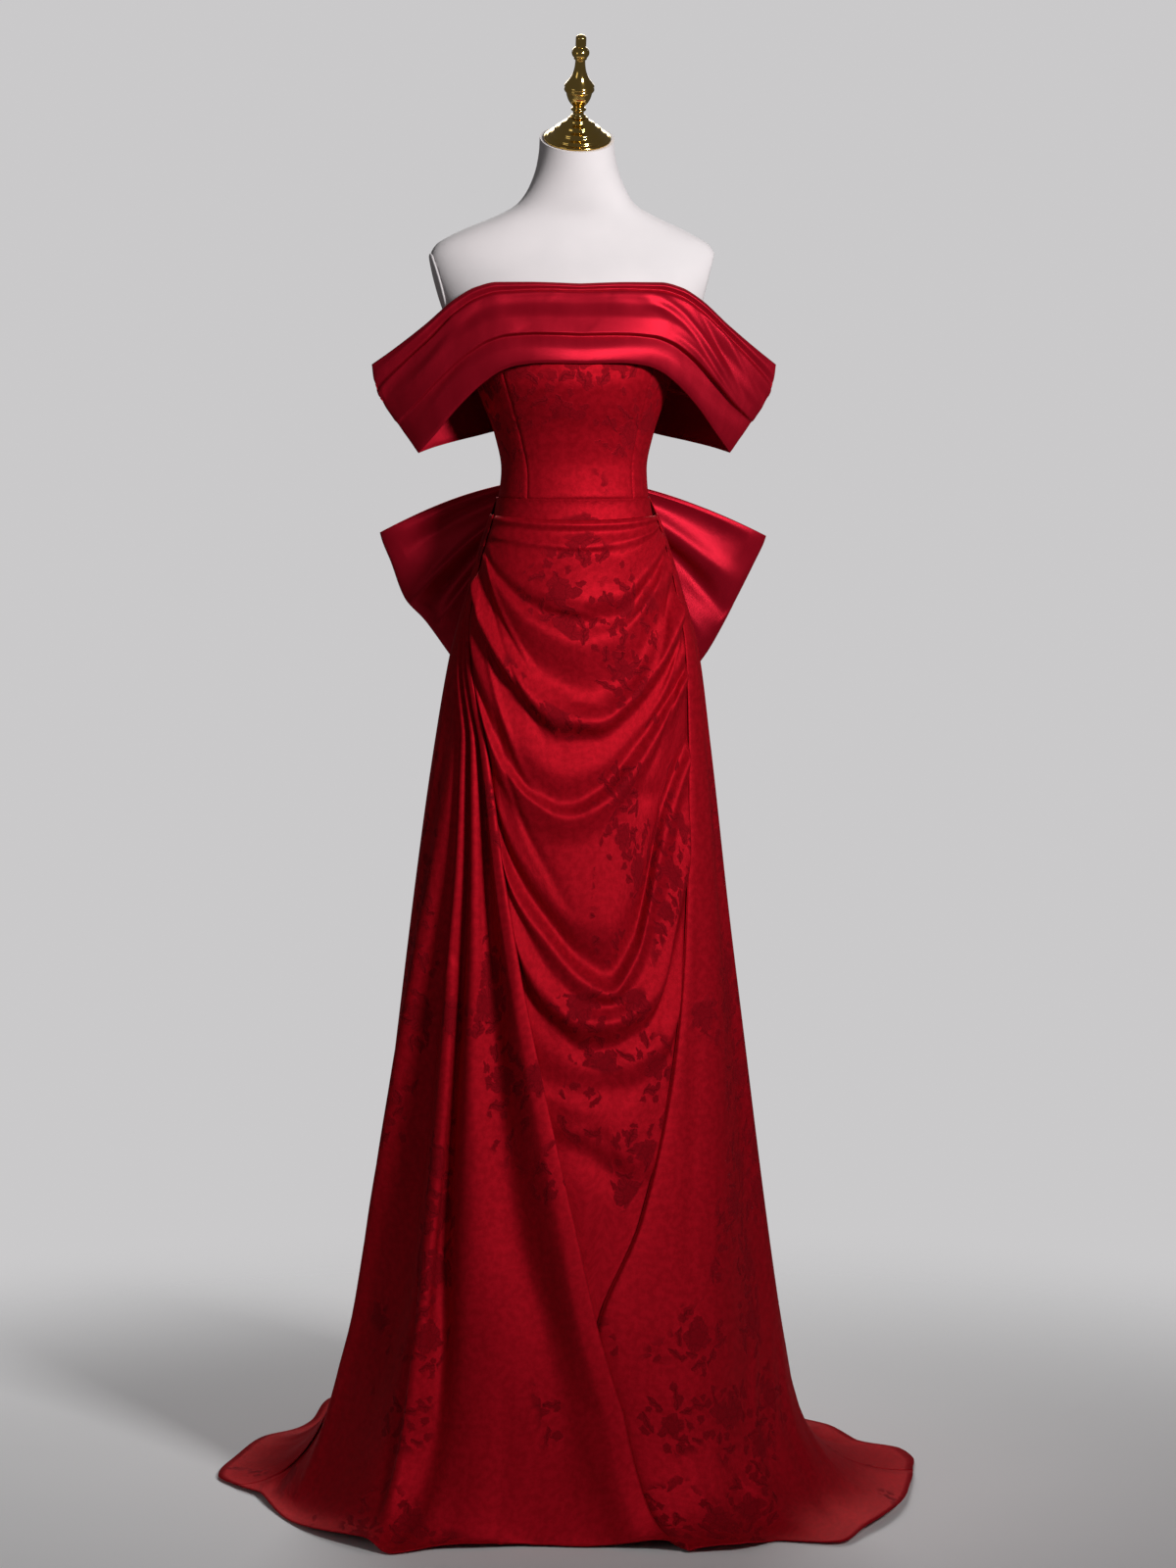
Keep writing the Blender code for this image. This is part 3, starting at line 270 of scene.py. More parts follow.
def measured(points):
    """Distances along the cloth in metres: across from the middle column, and down."""
    across = np.zeros(points.shape[:2])
    down = np.zeros(points.shape[:2])
    across[:, 1:] = np.cumsum(np.linalg.norm(np.diff(points, axis=1), axis=-1), axis=1)
    down[1:] = np.cumsum(np.linalg.norm(np.diff(points, axis=0), axis=-1), axis=0)
    across -= across[:, across.shape[1] // 2][:, None]
    return across, down


def facing_of(points):
    """The way each point of a grid faces: across its rows, then down its columns."""
    along = np.gradient(points, axis=1)
    down = np.gradient(points, axis=0)
    return unit(np.cross(along, down))


def from_borders(points, sides):
    """Distance of every point to the nearest of the named borders of its grid."""
    across, down = measured(points)
    if not sides:
        return np.full(across.shape, NO_SEAM)
    options = {"left": across - across[:, :1], "right": across[:, -1:] - across,
               "top": down - down[:1], "bottom": down[-1:] - down}
    return np.min([options[side] for side in sides], axis=0)


print("satin", SHEET / MM, "mm thick")

# %% [markdown]
# ## Creases and pressed seams
# Broad folds come from the tables of each piece. The small creases between them are drawn one by
# one: a crease is a soft ridge or trough along a bowed line, highest in the middle, that dies away
# at its ends. Along a seam the stitching draws the cloth in by about a millimetre, and the grid needs
# finer cells there to show it.

# %% Creases and seams
Crease = namedtuple("Crease", "u0 v0 u1 v1 bow width rise")
CREASE_FADE = 0.6           # power by which a crease dies away towards its ends
EDGE_CELLS = (0.096, 0.24, 0.48)     # where the first and last cell of an edged run are split


def creased(points, table, outward):
    """Adds soft ridges and troughs. Ends are shares of the grid; bow, width and rise are in mm."""
    across, down = measured(points)
    rows, cols = points.shape[:2]
    facing = facing_of(points) * outward
    lift = np.zeros((rows, cols))
    flat = np.stack([across, down], -1)
    for crease in table:
        start = flat[round(crease.v0 * (rows - 1)), round(crease.u0 * (cols - 1))]
        end = flat[round(crease.v1 * (rows - 1)), round(crease.u1 * (cols - 1))]
        run = end - start
        t = np.clip(((flat - start) @ run) / (run @ run), 0, 1)
        aside = np.array([-run[1], run[0]]) / np.linalg.norm(run)
        path = start + run * t[..., None] + aside * (crease.bow * MM * 4 * t * (1 - t))[..., None]
        away = np.linalg.norm(flat - path, axis=-1) / (crease.width * MM)
        lift += crease.rise * MM * np.exp(-away ** 2) * np.sin(math.pi * t) ** CREASE_FADE
    return points + facing * lift[..., None]


def pressed(points, sides, outward, depth=0.7, reach=2.5):
    """Draws the cloth in along its seams, as stitching and pressing do. Depth and reach in mm."""
    away = from_borders(points, sides) / (reach * MM)
    return points - facing_of(points) * outward * (depth * MM * np.exp(-away ** 2))[..., None]


def edged(places):
    """Splits the first and the last cell of a run, where a seam needs finer ones."""
    places = np.asarray(places, float)
    first, last = places[1] - places[0], places[-1] - places[-2]
    extra = [places[0] + first * share for share in EDGE_CELLS]
    extra += [places[-1] - last * share for share in EDGE_CELLS]
    return np.unique(np.concatenate([places, extra]))


print("an edged run of 4 cells has", len(edged(range(5))) - 1)

# %% [markdown]
# ## A finished piece
# Every piece ends in the same way: its bmesh becomes a named object at the origin, smooth shaded,
# with one finish. It rides on the one body and takes the place of the solid that it is laid over.

# %% Piece
def finish_piece(name, bm, finish, node):
    """Makes a named object of a bmesh, smooth shaded, riding on the body, in place of a node."""
    mesh = bpy.data.meshes.new(name)
    bm.to_mesh(mesh)
    bm.free()
    mesh.shade_smooth()
    mesh.materials.append(finish)
    piece = bpy.data.objects.new(name, mesh)
    bpy.context.scene.collection.objects.link(piece)
    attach(piece, "root")
    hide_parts(node)
    return piece


print("pieces ride on root, one for each of", len(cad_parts), "nodes")

# %% [markdown]
# ## Laying a sheet
# A laid sheet carries three measures for its finish: a UV map in metres along the cloth, which
# carries the weave, the distance to the nearest seam, and the beds in which the loom gathers its
# flowers. A Solidify modifier gives the sheet its thickness, inwards from the face.

# %% Laying
Bed = namedtuple("Bed", "u v half_u half_v")
BED_REACH = 1.5             # half widths from a bed's middle at which its flowers end


def planting(rows, cols, beds):
    """Where a loom's pattern gathers its flowers: 1 in the middle of a bed, 0 outside."""
    u, v = np.meshgrid(np.linspace(0, 1, cols), np.linspace(0, 1, rows))
    strength = np.zeros((rows, cols))
    for bed in beds:
        away = np.hypot((u - bed.u) / bed.half_u, (v - bed.v) / bed.half_v)
        strength = np.maximum(strength, np.clip(BED_REACH - away, 0, 1))
    return strength


def lay(name, points, finish, outward, node, seams=(), beds=()):
    """A grid of points as a sheet of cloth; outward is 1 where across x down points out."""
    rows, cols = points.shape[:2]
    bm = bmesh.new()
    bmesh.ops.create_grid(bm, x_segments=cols - 1, y_segments=rows - 1, size=1.0)
    column = [round((vert.co.x + 1) / 2 * (cols - 1)) for vert in bm.verts]
    row = [round((vert.co.y + 1) / 2 * (rows - 1)) for vert in bm.verts]
    for vert, place in zip(bm.verts, points[row, column]):
        vert.co = place
    if outward < 0:
        bmesh.ops.reverse_faces(bm, faces=bm.faces)
    piece = finish_piece(name, bm, finish, node)
    mesh = piece.data
    across, down = measured(points)
    corner = np.empty(len(mesh.loops), int)
    mesh.loops.foreach_get("vertex_index", corner)
    flat = np.stack([across[row, column], -down[row, column]], -1)
    mesh.uv_layers.new(name="Cloth").data.foreach_set("uv", flat[corner].ravel())
    for attribute, values in (("seam", from_borders(points, seams)),
                              ("flowers", planting(rows, cols, beds))):
        carried = mesh.attributes.new(attribute, "FLOAT", "POINT")
        carried.data.foreach_set("value", values[row, column].astype(np.float32))
    wall = piece.modifiers.new("wall", "SOLIDIFY")
    wall.thickness = SHEET
    wall.offset = -1
    print(name, cols, "x", rows, "points, cut about",
          round(float(np.ptp(across, axis=1).max()), 3), "x", round(float(down.max()), 3), "m")
    return piece


print("flowers end", BED_REACH, "half widths from a bed's middle")

# %% [markdown]
# ## The weave
# Satin and jacquard share one ground: warp threads that float on the face, over a weft that hardly
# shows. The threads are a bump less than a tenth of a millimetre high. Under them lie soft ripples,
# and small puckers along the seams. The tangent follows the warp, so the shine spreads across it.

# %% Weave
THREADS = (17000.0, 12500.0)     # radians of weave per metre: threads 0.37 and 0.5 mm apart
PUCKER_REACH = 0.012             # metres from a seam at which its puckers end


def cloth_place(recipe):
    return recipe.add("UVMap", uv_map="Cloth").outputs["UV"]


def threads(recipe, place):
    """Height of the weave: fine ribs along and across, broken up a little."""
    wobble = recipe.noise(place, 60.0, 2.0)
    parts = recipe.add("SeparateXYZ", {"Vector": place}).outputs
    warp = recipe.math("SINE", recipe.math("MULTIPLY_ADD", parts["X"], THREADS[0],
                                           recipe.math("MULTIPLY", wobble, 9.0)))
    weft = recipe.math("SINE", recipe.math("MULTIPLY", parts["Y"], THREADS[1]))
    return recipe.math("ADD", recipe.math("MULTIPLY", warp, 0.6), recipe.math("MULTIPLY", weft, 0.4))


def slow_change(recipe, place):
    """Soft uneven patches, stretched along the warp, from 0 to 1."""
    stretched = recipe.add("Mapping", {"Vector": place, "Scale": (1.0, 0.35, 1.0)}).outputs["Vector"]
    return recipe.noise(stretched, 22.0, 4.0, 0.6)


def rippled(recipe, place):
    """Bump of soft ripples, with small puckers that fade out beside a seam."""
    ripple = recipe.bump(slow_change(recipe, place), 0.0012, 0.35)
    near = recipe.ramp(recipe.read("seam"), 0.0, PUCKER_REACH, 1.0, 0.0)
    pucker = recipe.math("MULTIPLY", recipe.noise(place, 150.0, 2.0), near)
    return recipe.bump(pucker, 0.0015, 0.6, ripple)


def woven(recipe, place, strength, under):
    """Lays the threads over the bump under them, and turns the shine along the warp."""
    tangent = recipe.add("Tangent", direction_type="UV_MAP", uv_map="Cloth").outputs["Tangent"]
    recipe.coat(Normal=recipe.bump(threads(recipe, place), 0.00008, strength, under),
                Tangent=tangent)


print("threads", [round(2000 * math.pi / count, 2) for count in THREADS], "mm apart")

# %% [markdown]
# ## Plain satin
# Satin floats most of its warp on the face, so it is smooth and shines in a band across the threads.
# We give the shader some anisotropy for that band. A slow variation of colour and gloss keeps wide
# areas from looking like plastic.

# %% Satin
def satin_finish():
    deep, bright = (0.28, 0.0034, 0.0120, 1), (0.42, 0.0062, 0.0205, 1)
    satin = Recipe("plain_satin", Metallic=0.58, Anisotropic=0.5, Specular_IOR_Level=0.22,
                   Specular_Tint=(1.0, 0.35, 0.42, 1))
    place = cloth_place(satin)
    change = slow_change(satin, place)
    satin.coat(Base_Color=satin.blend(change, deep, bright),
               Roughness=satin.ramp(change, 0.25, 0.75, 0.36, 0.46))
    woven(satin, place, 0.35, rippled(satin, place))
    return satin.material


plain_satin = satin_finish()
print("finish:", plain_satin.name)

# %% [markdown]
# ## Scattering the woven motifs
# In the jacquard the loom brings the dull side of the satin to the face in the shape of flowers and
# leaves, in one colour. A Voronoi texture scatters them: each of its cells gives its own centre and
# three random numbers, which turn and size the motif that is drawn about that centre.

# %% Scatter
Scatter = namedtuple("Scatter", "spacing shift looseness")      # spacing in metres
BLOSSOMS = Scatter(0.082, 0.31, 0.8)
LEAVES = Scatter(0.026, 0.77, 1.0)
BUDS = Scatter(0.022, 1.43, 1.0)


def scattered(recipe, place, scatter):
    """The offset from the nearest motif's centre, its cell, and its three random numbers."""
    moved = recipe.vector("ADD", place, (scatter.shift, scatter.shift * 0.7, 0.0))
    scaled = recipe.scaled(moved, 1 / scatter.spacing)
    cell = recipe.add("TexVoronoi",
                      {"Vector": scaled, "Scale": 1.0, "Randomness": scatter.looseness},
                      voronoi_dimensions="2D", feature="F1")
    offset = recipe.vector("SUBTRACT", scaled, cell.outputs["Position"])
    return offset, cell, recipe.add("SeparateColor", {"Color": cell.outputs["Color"]}).outputs


print("blossoms", BLOSSOMS.spacing, "m apart, leaves", LEAVES.spacing, "and buds", BUDS.spacing)

# %% [markdown]
# ## Drawing a blossom and a leaf
# Polar coordinates about the centre draw a blossom: a cosine of the angle makes its petals, a sine
# makes the inner ring between them, and finer waves its veins. A turned pair of coordinates draws
# a leaf between two arcs, with a rib and slanting veins. Sizes are shares of the motifs' spacing.

# %% Motifs
PETALS = 5.0
VEINS = 5.0                 # veins to a petal
FULL_TURN = 6.283           # a random number times this turns a motif by any angle
BLOSSOM_BLUR = 0.012        # softness of a woven edge


def blossom(recipe, offset, cell, chance, reach):
    """An open flower with two rings of petals: its shape, and the lines drawn in it."""
    parts = recipe.add("SeparateXYZ", {"Vector": offset}).outputs
    angle = recipe.math("ADD", recipe.math("ARCTAN2", parts["Y"], parts["X"]),
                        recipe.math("MULTIPLY", chance[0], FULL_TURN))
    size = recipe.math("MULTIPLY_ADD", chance[1], reach * 0.4, reach * 0.7)
    petal = recipe.math("MULTIPLY", angle, PETALS / 2)
    lobe = recipe.math("ABSOLUTE", recipe.math("COSINE", petal))
    notch = recipe.math("ABSOLUTE", recipe.math("SINE", petal))
    outer = recipe.math("MULTIPLY_ADD", recipe.math("POWER", lobe, 0.45), 0.45, 0.55)
    inner = recipe.math("MULTIPLY_ADD", recipe.math("POWER", notch, 0.5), 0.25, 0.30)
    far = cell.outputs["Distance"]
    within = recipe.math("SUBTRACT", recipe.math("MULTIPLY", size, outer), far)
    beyond = recipe.math("SUBTRACT", far, recipe.math("MULTIPLY", size, inner))
    shape = recipe.ramp(within, -BLOSSOM_BLUR, BLOSSOM_BLUR)
    ring = recipe.ramp(recipe.math("ABSOLUTE", beyond), 0.0, 0.035, 0.5, 0.0)
    split = recipe.math("MULTIPLY", recipe.ramp(lobe, 0.0, 0.30, 1.0, 0.0),
                        recipe.ramp(beyond, 0.0, 0.02))
    wave = recipe.math("COSINE", recipe.math("MULTIPLY", angle, PETALS * VEINS))
    veins = recipe.ramp(wave, 0.55, 0.95, 0.0, 0.55)
    return shape, recipe.math("MAXIMUM", recipe.math("MAXIMUM", ring, split), veins)


def leaf(recipe, offset, chance, long, wide):
    """A pointed leaf with a rib and slanting veins."""
    turn = recipe.math("MULTIPLY", chance[0], FULL_TURN)
    turned = recipe.add("VectorRotate", {"Vector": offset, "Angle": turn},
                        rotation_type="Z_AXIS").outputs["Vector"]
    parts = recipe.add("SeparateXYZ", {"Vector": turned}).outputs
    along = recipe.math("DIVIDE", parts["X"], long)
    aside = recipe.math("ABSOLUTE", parts["Y"])
    arc = recipe.math("SUBTRACT", 1.0, recipe.math("MULTIPLY", along, along))
    half = recipe.math("MULTIPLY", arc, wide)
    shape = recipe.ramp(recipe.math("SUBTRACT", half, aside), -0.02, 0.03)
    rib = recipe.ramp(aside, 0.0, 0.05, 1.0, 0.0)
    slant = recipe.math("SUBTRACT", aside, recipe.math("MULTIPLY", parts["X"], 0.7))
    wave = recipe.math("SINE", recipe.math("MULTIPLY", slant, 42.0))
    return shape, recipe.math("MAXIMUM", rib, recipe.ramp(wave, 0.2, 0.9, 0.0, 0.6))


print("a blossom has", int(PETALS), "petals")

# %% [markdown]
# ## The pattern on the loom
# Each cluster is a blossom with leaves and buds round it, and bare satin lies between the clusters.
# A motif grows only where a slow noise and the piece's own beds allow it, and leaves and buds only
# near a blossom. A little noise on the coordinates keeps the woven edges from looking ruled.

# %% Pattern
def near_blossom(recipe, centre, scatter, reach):
    """1 where a small motif's centre lies near a blossom's, with a soft end at the reach."""
    back = recipe.scaled(centre, scatter.spacing)
    there = recipe.vector("SUBTRACT", back, (scatter.shift, scatter.shift * 0.7, 0.0))
    _, around, _ = scattered(recipe, there, BLOSSOMS)
    return recipe.ramp(around.outputs["Distance"], reach, reach + 0.02, 1.0, 0.0)


def jacquard_pattern(recipe, place):
    """The shape of all motifs together, and the lines drawn in them."""
    wander = recipe.add("TexNoise", {"Vector": place, "Scale": 60.0, "Detail": 3.0}).outputs["Color"]
    centred = recipe.vector("SUBTRACT", wander, (0.5, 0.5, 0.5))
    shifted = recipe.vector("MULTIPLY", centred, (0.020, 0.020, 0.0))
    place = recipe.vector("ADD", place, shifted)
    bedded = recipe.math("MULTIPLY_ADD", recipe.read("flowers"), 0.34,
                         recipe.noise(place, 5.0, 2.0))
    planted = recipe.ramp(bedded, 0.565, 0.605)
    offset, cell, chance = scattered(recipe, place, BLOSSOMS)
    shape, lines = blossom(recipe, offset, cell, chance, 0.26)
    shape = recipe.math("MULTIPLY", shape, planted)
    for scatter, reach in ((LEAVES, 0.51), (BUDS, 0.58)):
        offset, cell, chance = scattered(recipe, place, scatter)
        if scatter is LEAVES:
            more, drawn = leaf(recipe, offset, chance, 0.52, 0.20)
        else:
            more, drawn = blossom(recipe, offset, cell, chance, 0.30)
        around = near_blossom(recipe, cell.outputs["Position"], scatter, reach)
        kept = recipe.math("MULTIPLY", recipe.math("MULTIPLY", more, around), planted)
        fresh = recipe.math("MULTIPLY", kept, recipe.math("SUBTRACT", 1.0, shape))
        lines = recipe.math("MAXIMUM", recipe.math("MULTIPLY", lines, shape),
                            recipe.math("MULTIPLY", drawn, fresh))
        shape = recipe.math("MAXIMUM", shape, kept)
    return shape, lines


print("pattern helpers ready")

# %% [markdown]
# ## Flowered jacquard
# The motifs show because their gloss differs from the ground: duller, rougher and less metallic.
# The ground itself is mottled, since the thicker weave takes the dye less evenly than plain satin.

# %% Jacquard
def jacquard_finish():
    deep, bright = (0.26, 0.0023, 0.0070, 1), (0.47, 0.0052, 0.0146, 1)
    petals, outlines = (0.235, 0.0027, 0.0078, 1), (0.090, 0.0012, 0.0034, 1)
    jacquard = Recipe("flowered_jacquard", Anisotropic=0.35, Specular_IOR_Level=0.12,
                      Specular_Tint=(1.0, 0.20, 0.26, 1))
    place = cloth_place(jacquard)
    shape, lines = jacquard_pattern(jacquard, place)
    mottle = jacquard.ramp(jacquard.noise(place, 110.0, 5.0, 0.65), 0.36, 0.64)
    change = jacquard.math("MULTIPLY", slow_change(jacquard, place), 0.55)
    ground = jacquard.blend(jacquard.math("MULTIPLY_ADD", mottle, 0.45, change), deep, bright)
    motif = jacquard.blend(lines, petals, outlines)
    jacquard.coat(Base_Color=jacquard.blend(jacquard.math("MULTIPLY", shape, 0.85), ground, motif),
                  Roughness=jacquard.ramp(shape, 0.0, 1.0, 0.52, 0.74),
                  Metallic=jacquard.ramp(shape, 0.0, 1.0, 0.44, 0.15))
    raised = jacquard.math("SUBTRACT", shape, jacquard.math("MULTIPLY", lines, 0.8))
    relief = jacquard.bump(raised, 0.0005, 0.6, rippled(jacquard, place))
    woven(jacquard, place, 0.4, relief)
    return jacquard.material


flowered_jacquard = jacquard_finish()
print("finish:", flowered_jacquard.name, len(flowered_jacquard.node_tree.nodes), "nodes")

# %% [markdown]
# ## The dress form's cover
# The torso is covered in pale knitted cotton. It is matt, with a very fine stitch, and its colour
# warms slightly where the padding under it is thinner. It reads Object coordinates, because a torso
# has no cut pieces whose direction would matter.

# %% Cover
def cover_finish():
    cover = Recipe("knitted_cover", Roughness=0.85, Sheen_Weight=0.25, Sheen_Roughness=0.5)
    place = cover.add("TexCoord").outputs["Object"]
    cool, warm = (0.59, 0.55, 0.558, 1), (0.64, 0.592, 0.60, 1)
    patch = cover.ramp(cover.noise(place, 9.0), 0.35, 0.7)
    padding = cover.bump(cover.noise(place, 60.0, 2.0), 0.0006, 0.15)
    stitch = cover.noise(place, 900.0, 2.0)
    cover.coat(Base_Color=cover.blend(patch, cool, warm),
               Normal=cover.bump(stitch, 0.0003, 0.35, padding))
    return cover.material


knitted_cover = cover_finish()
print("finish:", knitted_cover.name)

# %% [markdown]
# ## The form's sections
# The form is a smooth padded body with a neck and no arms. Its shape is a table of oval sections:
# at each height the half width and the depths in front and behind. The torso and the bodice are
# both laid on this one surface, so the bodice fits without any trying on.

# %% Form sections
FormRow = namedtuple("FormRow", "z middle half front back")
FORM = (
    FormRow(0.985, -0.003, 0.118, 0.074, 0.086),
    FormRow(1.060, -0.003, 0.142, 0.092, 0.108),
    FormRow(1.120, -0.003, 0.147, 0.098, 0.112),
    FormRow(1.180, -0.003, 0.138, 0.096, 0.103),
    FormRow(1.240, -0.004, 0.117, 0.089, 0.088),
    FormRow(1.300, -0.004, 0.099, 0.081, 0.077),
    FormRow(1.355, -0.003, 0.0925, 0.078, 0.072),
    FormRow(1.400, -0.003, 0.101, 0.086, 0.077),
    FormRow(1.440, -0.004, 0.115, 0.104, 0.084),
    FormRow(1.470, -0.005, 0.126, 0.113, 0.089),
    FormRow(1.500, -0.005, 0.138, 0.112, 0.092),
    FormRow(1.530, -0.005, 0.153, 0.101, 0.094),
    FormRow(1.560, -0.004, 0.167, 0.089, 0.092),
    FormRow(1.590, -0.004, 0.178, 0.078, 0.088),
    FormRow(1.612, -0.004, 0.184, 0.067, 0.082),
    FormRow(1.630, -0.004, 0.186, 0.057, 0.076),
    FormRow(1.645, -0.004, 0.179, 0.050, 0.071),
    FormRow(1.657, -0.004, 0.160, 0.046, 0.066),
    FormRow(1.668, -0.003, 0.138, 0.042, 0.061),
    FormRow(1.682, -0.001, 0.105, 0.040, 0.055),
    FormRow(1.698, 0.000, 0.077, 0.042, 0.051),
    FormRow(1.723, 0.001, 0.061, 0.045, 0.047),
    FormRow(1.750, 0.001, 0.052, 0.049, 0.042),
    FormRow(1.775, 0.001, 0.0487, 0.053, 0.038),
    FormRow(1.820, 0.001, 0.0480, 0.060, 0.031),
)
NECK_TOP = 1.781
CAP_TILT = math.radians(24)
SHOULDER_CUT, SHOULDER_MIDDLE = (0.188, 1.646), -0.004
SHOULDER_SLANT, SHOULDER_TURN = math.radians(14), math.radians(8)
form = columns(FORM, "z")


def form_surface(angle, z):
    """The form's skin, by angle in degrees from the centre front, and height."""
    turn = np.radians(angle)
    depth = np.where(np.cos(turn) > 0, form["front"](z), form["back"](z))
    x = form["middle"](z) + form["half"](z) * np.sin(turn)
    return np.stack([x, -depth * np.cos(turn), z + 0 * x], -1)


def clothed_form(off):
    """The form's skin moved out by off metres."""
    def surface(angle, z):
        facing = normals(form_surface, angle, z, 0.5, 0.002)
        facing[..., 2] = 0.0
        return form_surface(angle, z) + off * unit(facing)
    return surface


def cap_axis():
    return Vector((0, -math.sin(CAP_TILT), math.cos(CAP_TILT)))


def cap_centre():
    y = (float(form["back"](NECK_TOP)) - float(form["front"](NECK_TOP))) / 2
    return Vector((0.001, y, NECK_TOP))


def armhole_plane(sign):
    level = math.cos(SHOULDER_SLANT)
    facing = Vector((sign * level * math.cos(SHOULDER_TURN), -level * math.sin(SHOULDER_TURN),
                     -math.sin(SHOULDER_SLANT)))
    return Vector((sign * SHOULDER_CUT[0] + SHOULDER_MIDDLE, 0, SHOULDER_CUT[1])), facing


print("form from", FORM[0].z, "to", NECK_TOP, "m")

# %% [markdown]
# ## Torso
# We bend a grid into a tube of those sections, join its two sides, and slice it with three planes:
# the slanted neck top and the two armholes. Slicing gives the flat faces exactly, which a hand-placed
# ring would not. The outline of each armhole cut is kept for the plate that covers it.

# %% Torso
WELD = 0.00001              # metres within which two points are one


def slice_off(bm, point, facing):
    """Cuts away what lies beyond a plane, closes the cut and returns the closing face's corners."""
    geometry = bm.verts[:] + bm.edges[:] + bm.faces[:]
    cut = bmesh.ops.bisect_plane(bm, geom=geometry, plane_co=point, plane_no=facing, clear_outer=True)
    edges = [item for item in cut["geom_cut"] if isinstance(item, bmesh.types.BMEdge)]
    closing = bmesh.ops.contextual_create(bm, geom=edges)["faces"][0]
    return [vert.co.copy() for vert in closing.verts]


def torso():
    sides, rings = 96, 150
    bm = bmesh.new()
    bmesh.ops.create_grid(bm, x_segments=sides, y_segments=rings, size=1.0)
    for vert in bm.verts:
        z = FORM[0].z + (vert.co.y + 1) / 2 * (FORM[-1].z - FORM[0].z)
        vert.co = form_surface(np.array(vert.co.x * 180.0), np.array(z))
    bmesh.ops.remove_doubles(bm, verts=bm.verts, dist=WELD)
    bmesh.ops.holes_fill(bm, edges=[edge for edge in bm.edges if edge.is_boundary], sides=0)
    bmesh.ops.recalc_face_normals(bm, faces=bm.faces)
    slice_off(bm, cap_centre(), cap_axis())
    rims = [slice_off(bm, *armhole_plane(sign)) for sign in (-1, 1)]
    piece = finish_piece("torso", bm, knitted_cover, "form_torso")
    piece.data.set_sharp_from_angle(angle=math.radians(40))
    print("torso", len(piece.data.polygons), "faces")
    return rims


armhole_rims = torso()

# %% [markdown]
# ## Armhole plates
# Each armhole is closed by a thin plate under the same knitted cover. We fill the outline that the
# slice left, extrude it a few millimetres, and bevel the outer edge, which a cover never leaves
# sharp.

# %% Armhole plates
SEAT = 0.0003               # gap between a fitted part and the torso under it
PLATE, PLATE_EDGE = 0.0024, 0.0018      # thickness, and width of the rounded edge
SHORTEST_EDGE = 0.0008      # corners closer than this would spoil the bevel


def armhole_cover(name, rim, facing, node):
    """A padded plate over an armhole, with a rounded edge."""
    bm = bmesh.new()
    bm.faces.new([bm.verts.new(corner + facing * SEAT) for corner in rim])
    bmesh.ops.remove_doubles(bm, verts=bm.verts, dist=SHORTEST_EDGE)
    made = bmesh.ops.extrude_face_region(bm, geom=bm.faces[:])
    top = [item for item in made["geom"] if isinstance(item, bmesh.types.BMVert)]
    bmesh.ops.translate(bm, verts=top, vec=facing * PLATE)
    bmesh.ops.recalc_face_normals(bm, faces=bm.faces)
    edges = [edge for edge in bm.edges
             if all(vert in top for vert in edge.verts) and not edge.is_boundary]
    bmesh.ops.bevel(bm, geom=edges, offset=PLATE_EDGE, offset_type="OFFSET", affect="EDGES",
                    segments=3, profile=0.5, material=-1)
    finish_piece(name, bm, knitted_cover, node)


for sign, name, rim in zip((-1, 1), ("left", "right"), armhole_rims):
    armhole_cover("armhole_" + name, rim, armhole_plane(sign)[1], "arm_plate_" + name)
    print(name, "armhole closed, outline of", len(rim), "corners")

# %% [markdown]
# ## Brass cap and finial
# A turned finial is a profile spun about its axis. We draw half the outline as a few radii and
# heights, spin it a full turn, and let a subdivision surface round the rings as a lathe tool would.
# The whole is then leaned forward to sit square on the slanted neck.

# %% Turned profiles
CAP_PROFILE = (
    (0.0, 0.0), (0.0430, 0.0), (0.0438, 0.0006), (0.0441, 0.0018), (0.0438, 0.0030),
    (0.0428, 0.0036), (0.0400, 0.0040), (0.0388, 0.0044), (0.0384, 0.0052), (0.0382, 0.0070),
    (0.0376, 0.0080), (0.0360, 0.0086), (0.0336, 0.0094), (0.0318, 0.0102), (0.0312, 0.0112),
    (0.0309, 0.0136), (0.0302, 0.0150), (0.0286, 0.0158), (0.0262, 0.0166), (0.0240, 0.0174),
    (0.0229, 0.0184), (0.0226, 0.0206), (0.0216, 0.0220), (0.0196, 0.0230), (0.0168, 0.0240),
    (0.0150, 0.0250), (0.0142, 0.0262), (0.0136, 0.0282), (0.0124, 0.0296), (0.0110, 0.0302),
    (0.0, 0.0302),
)
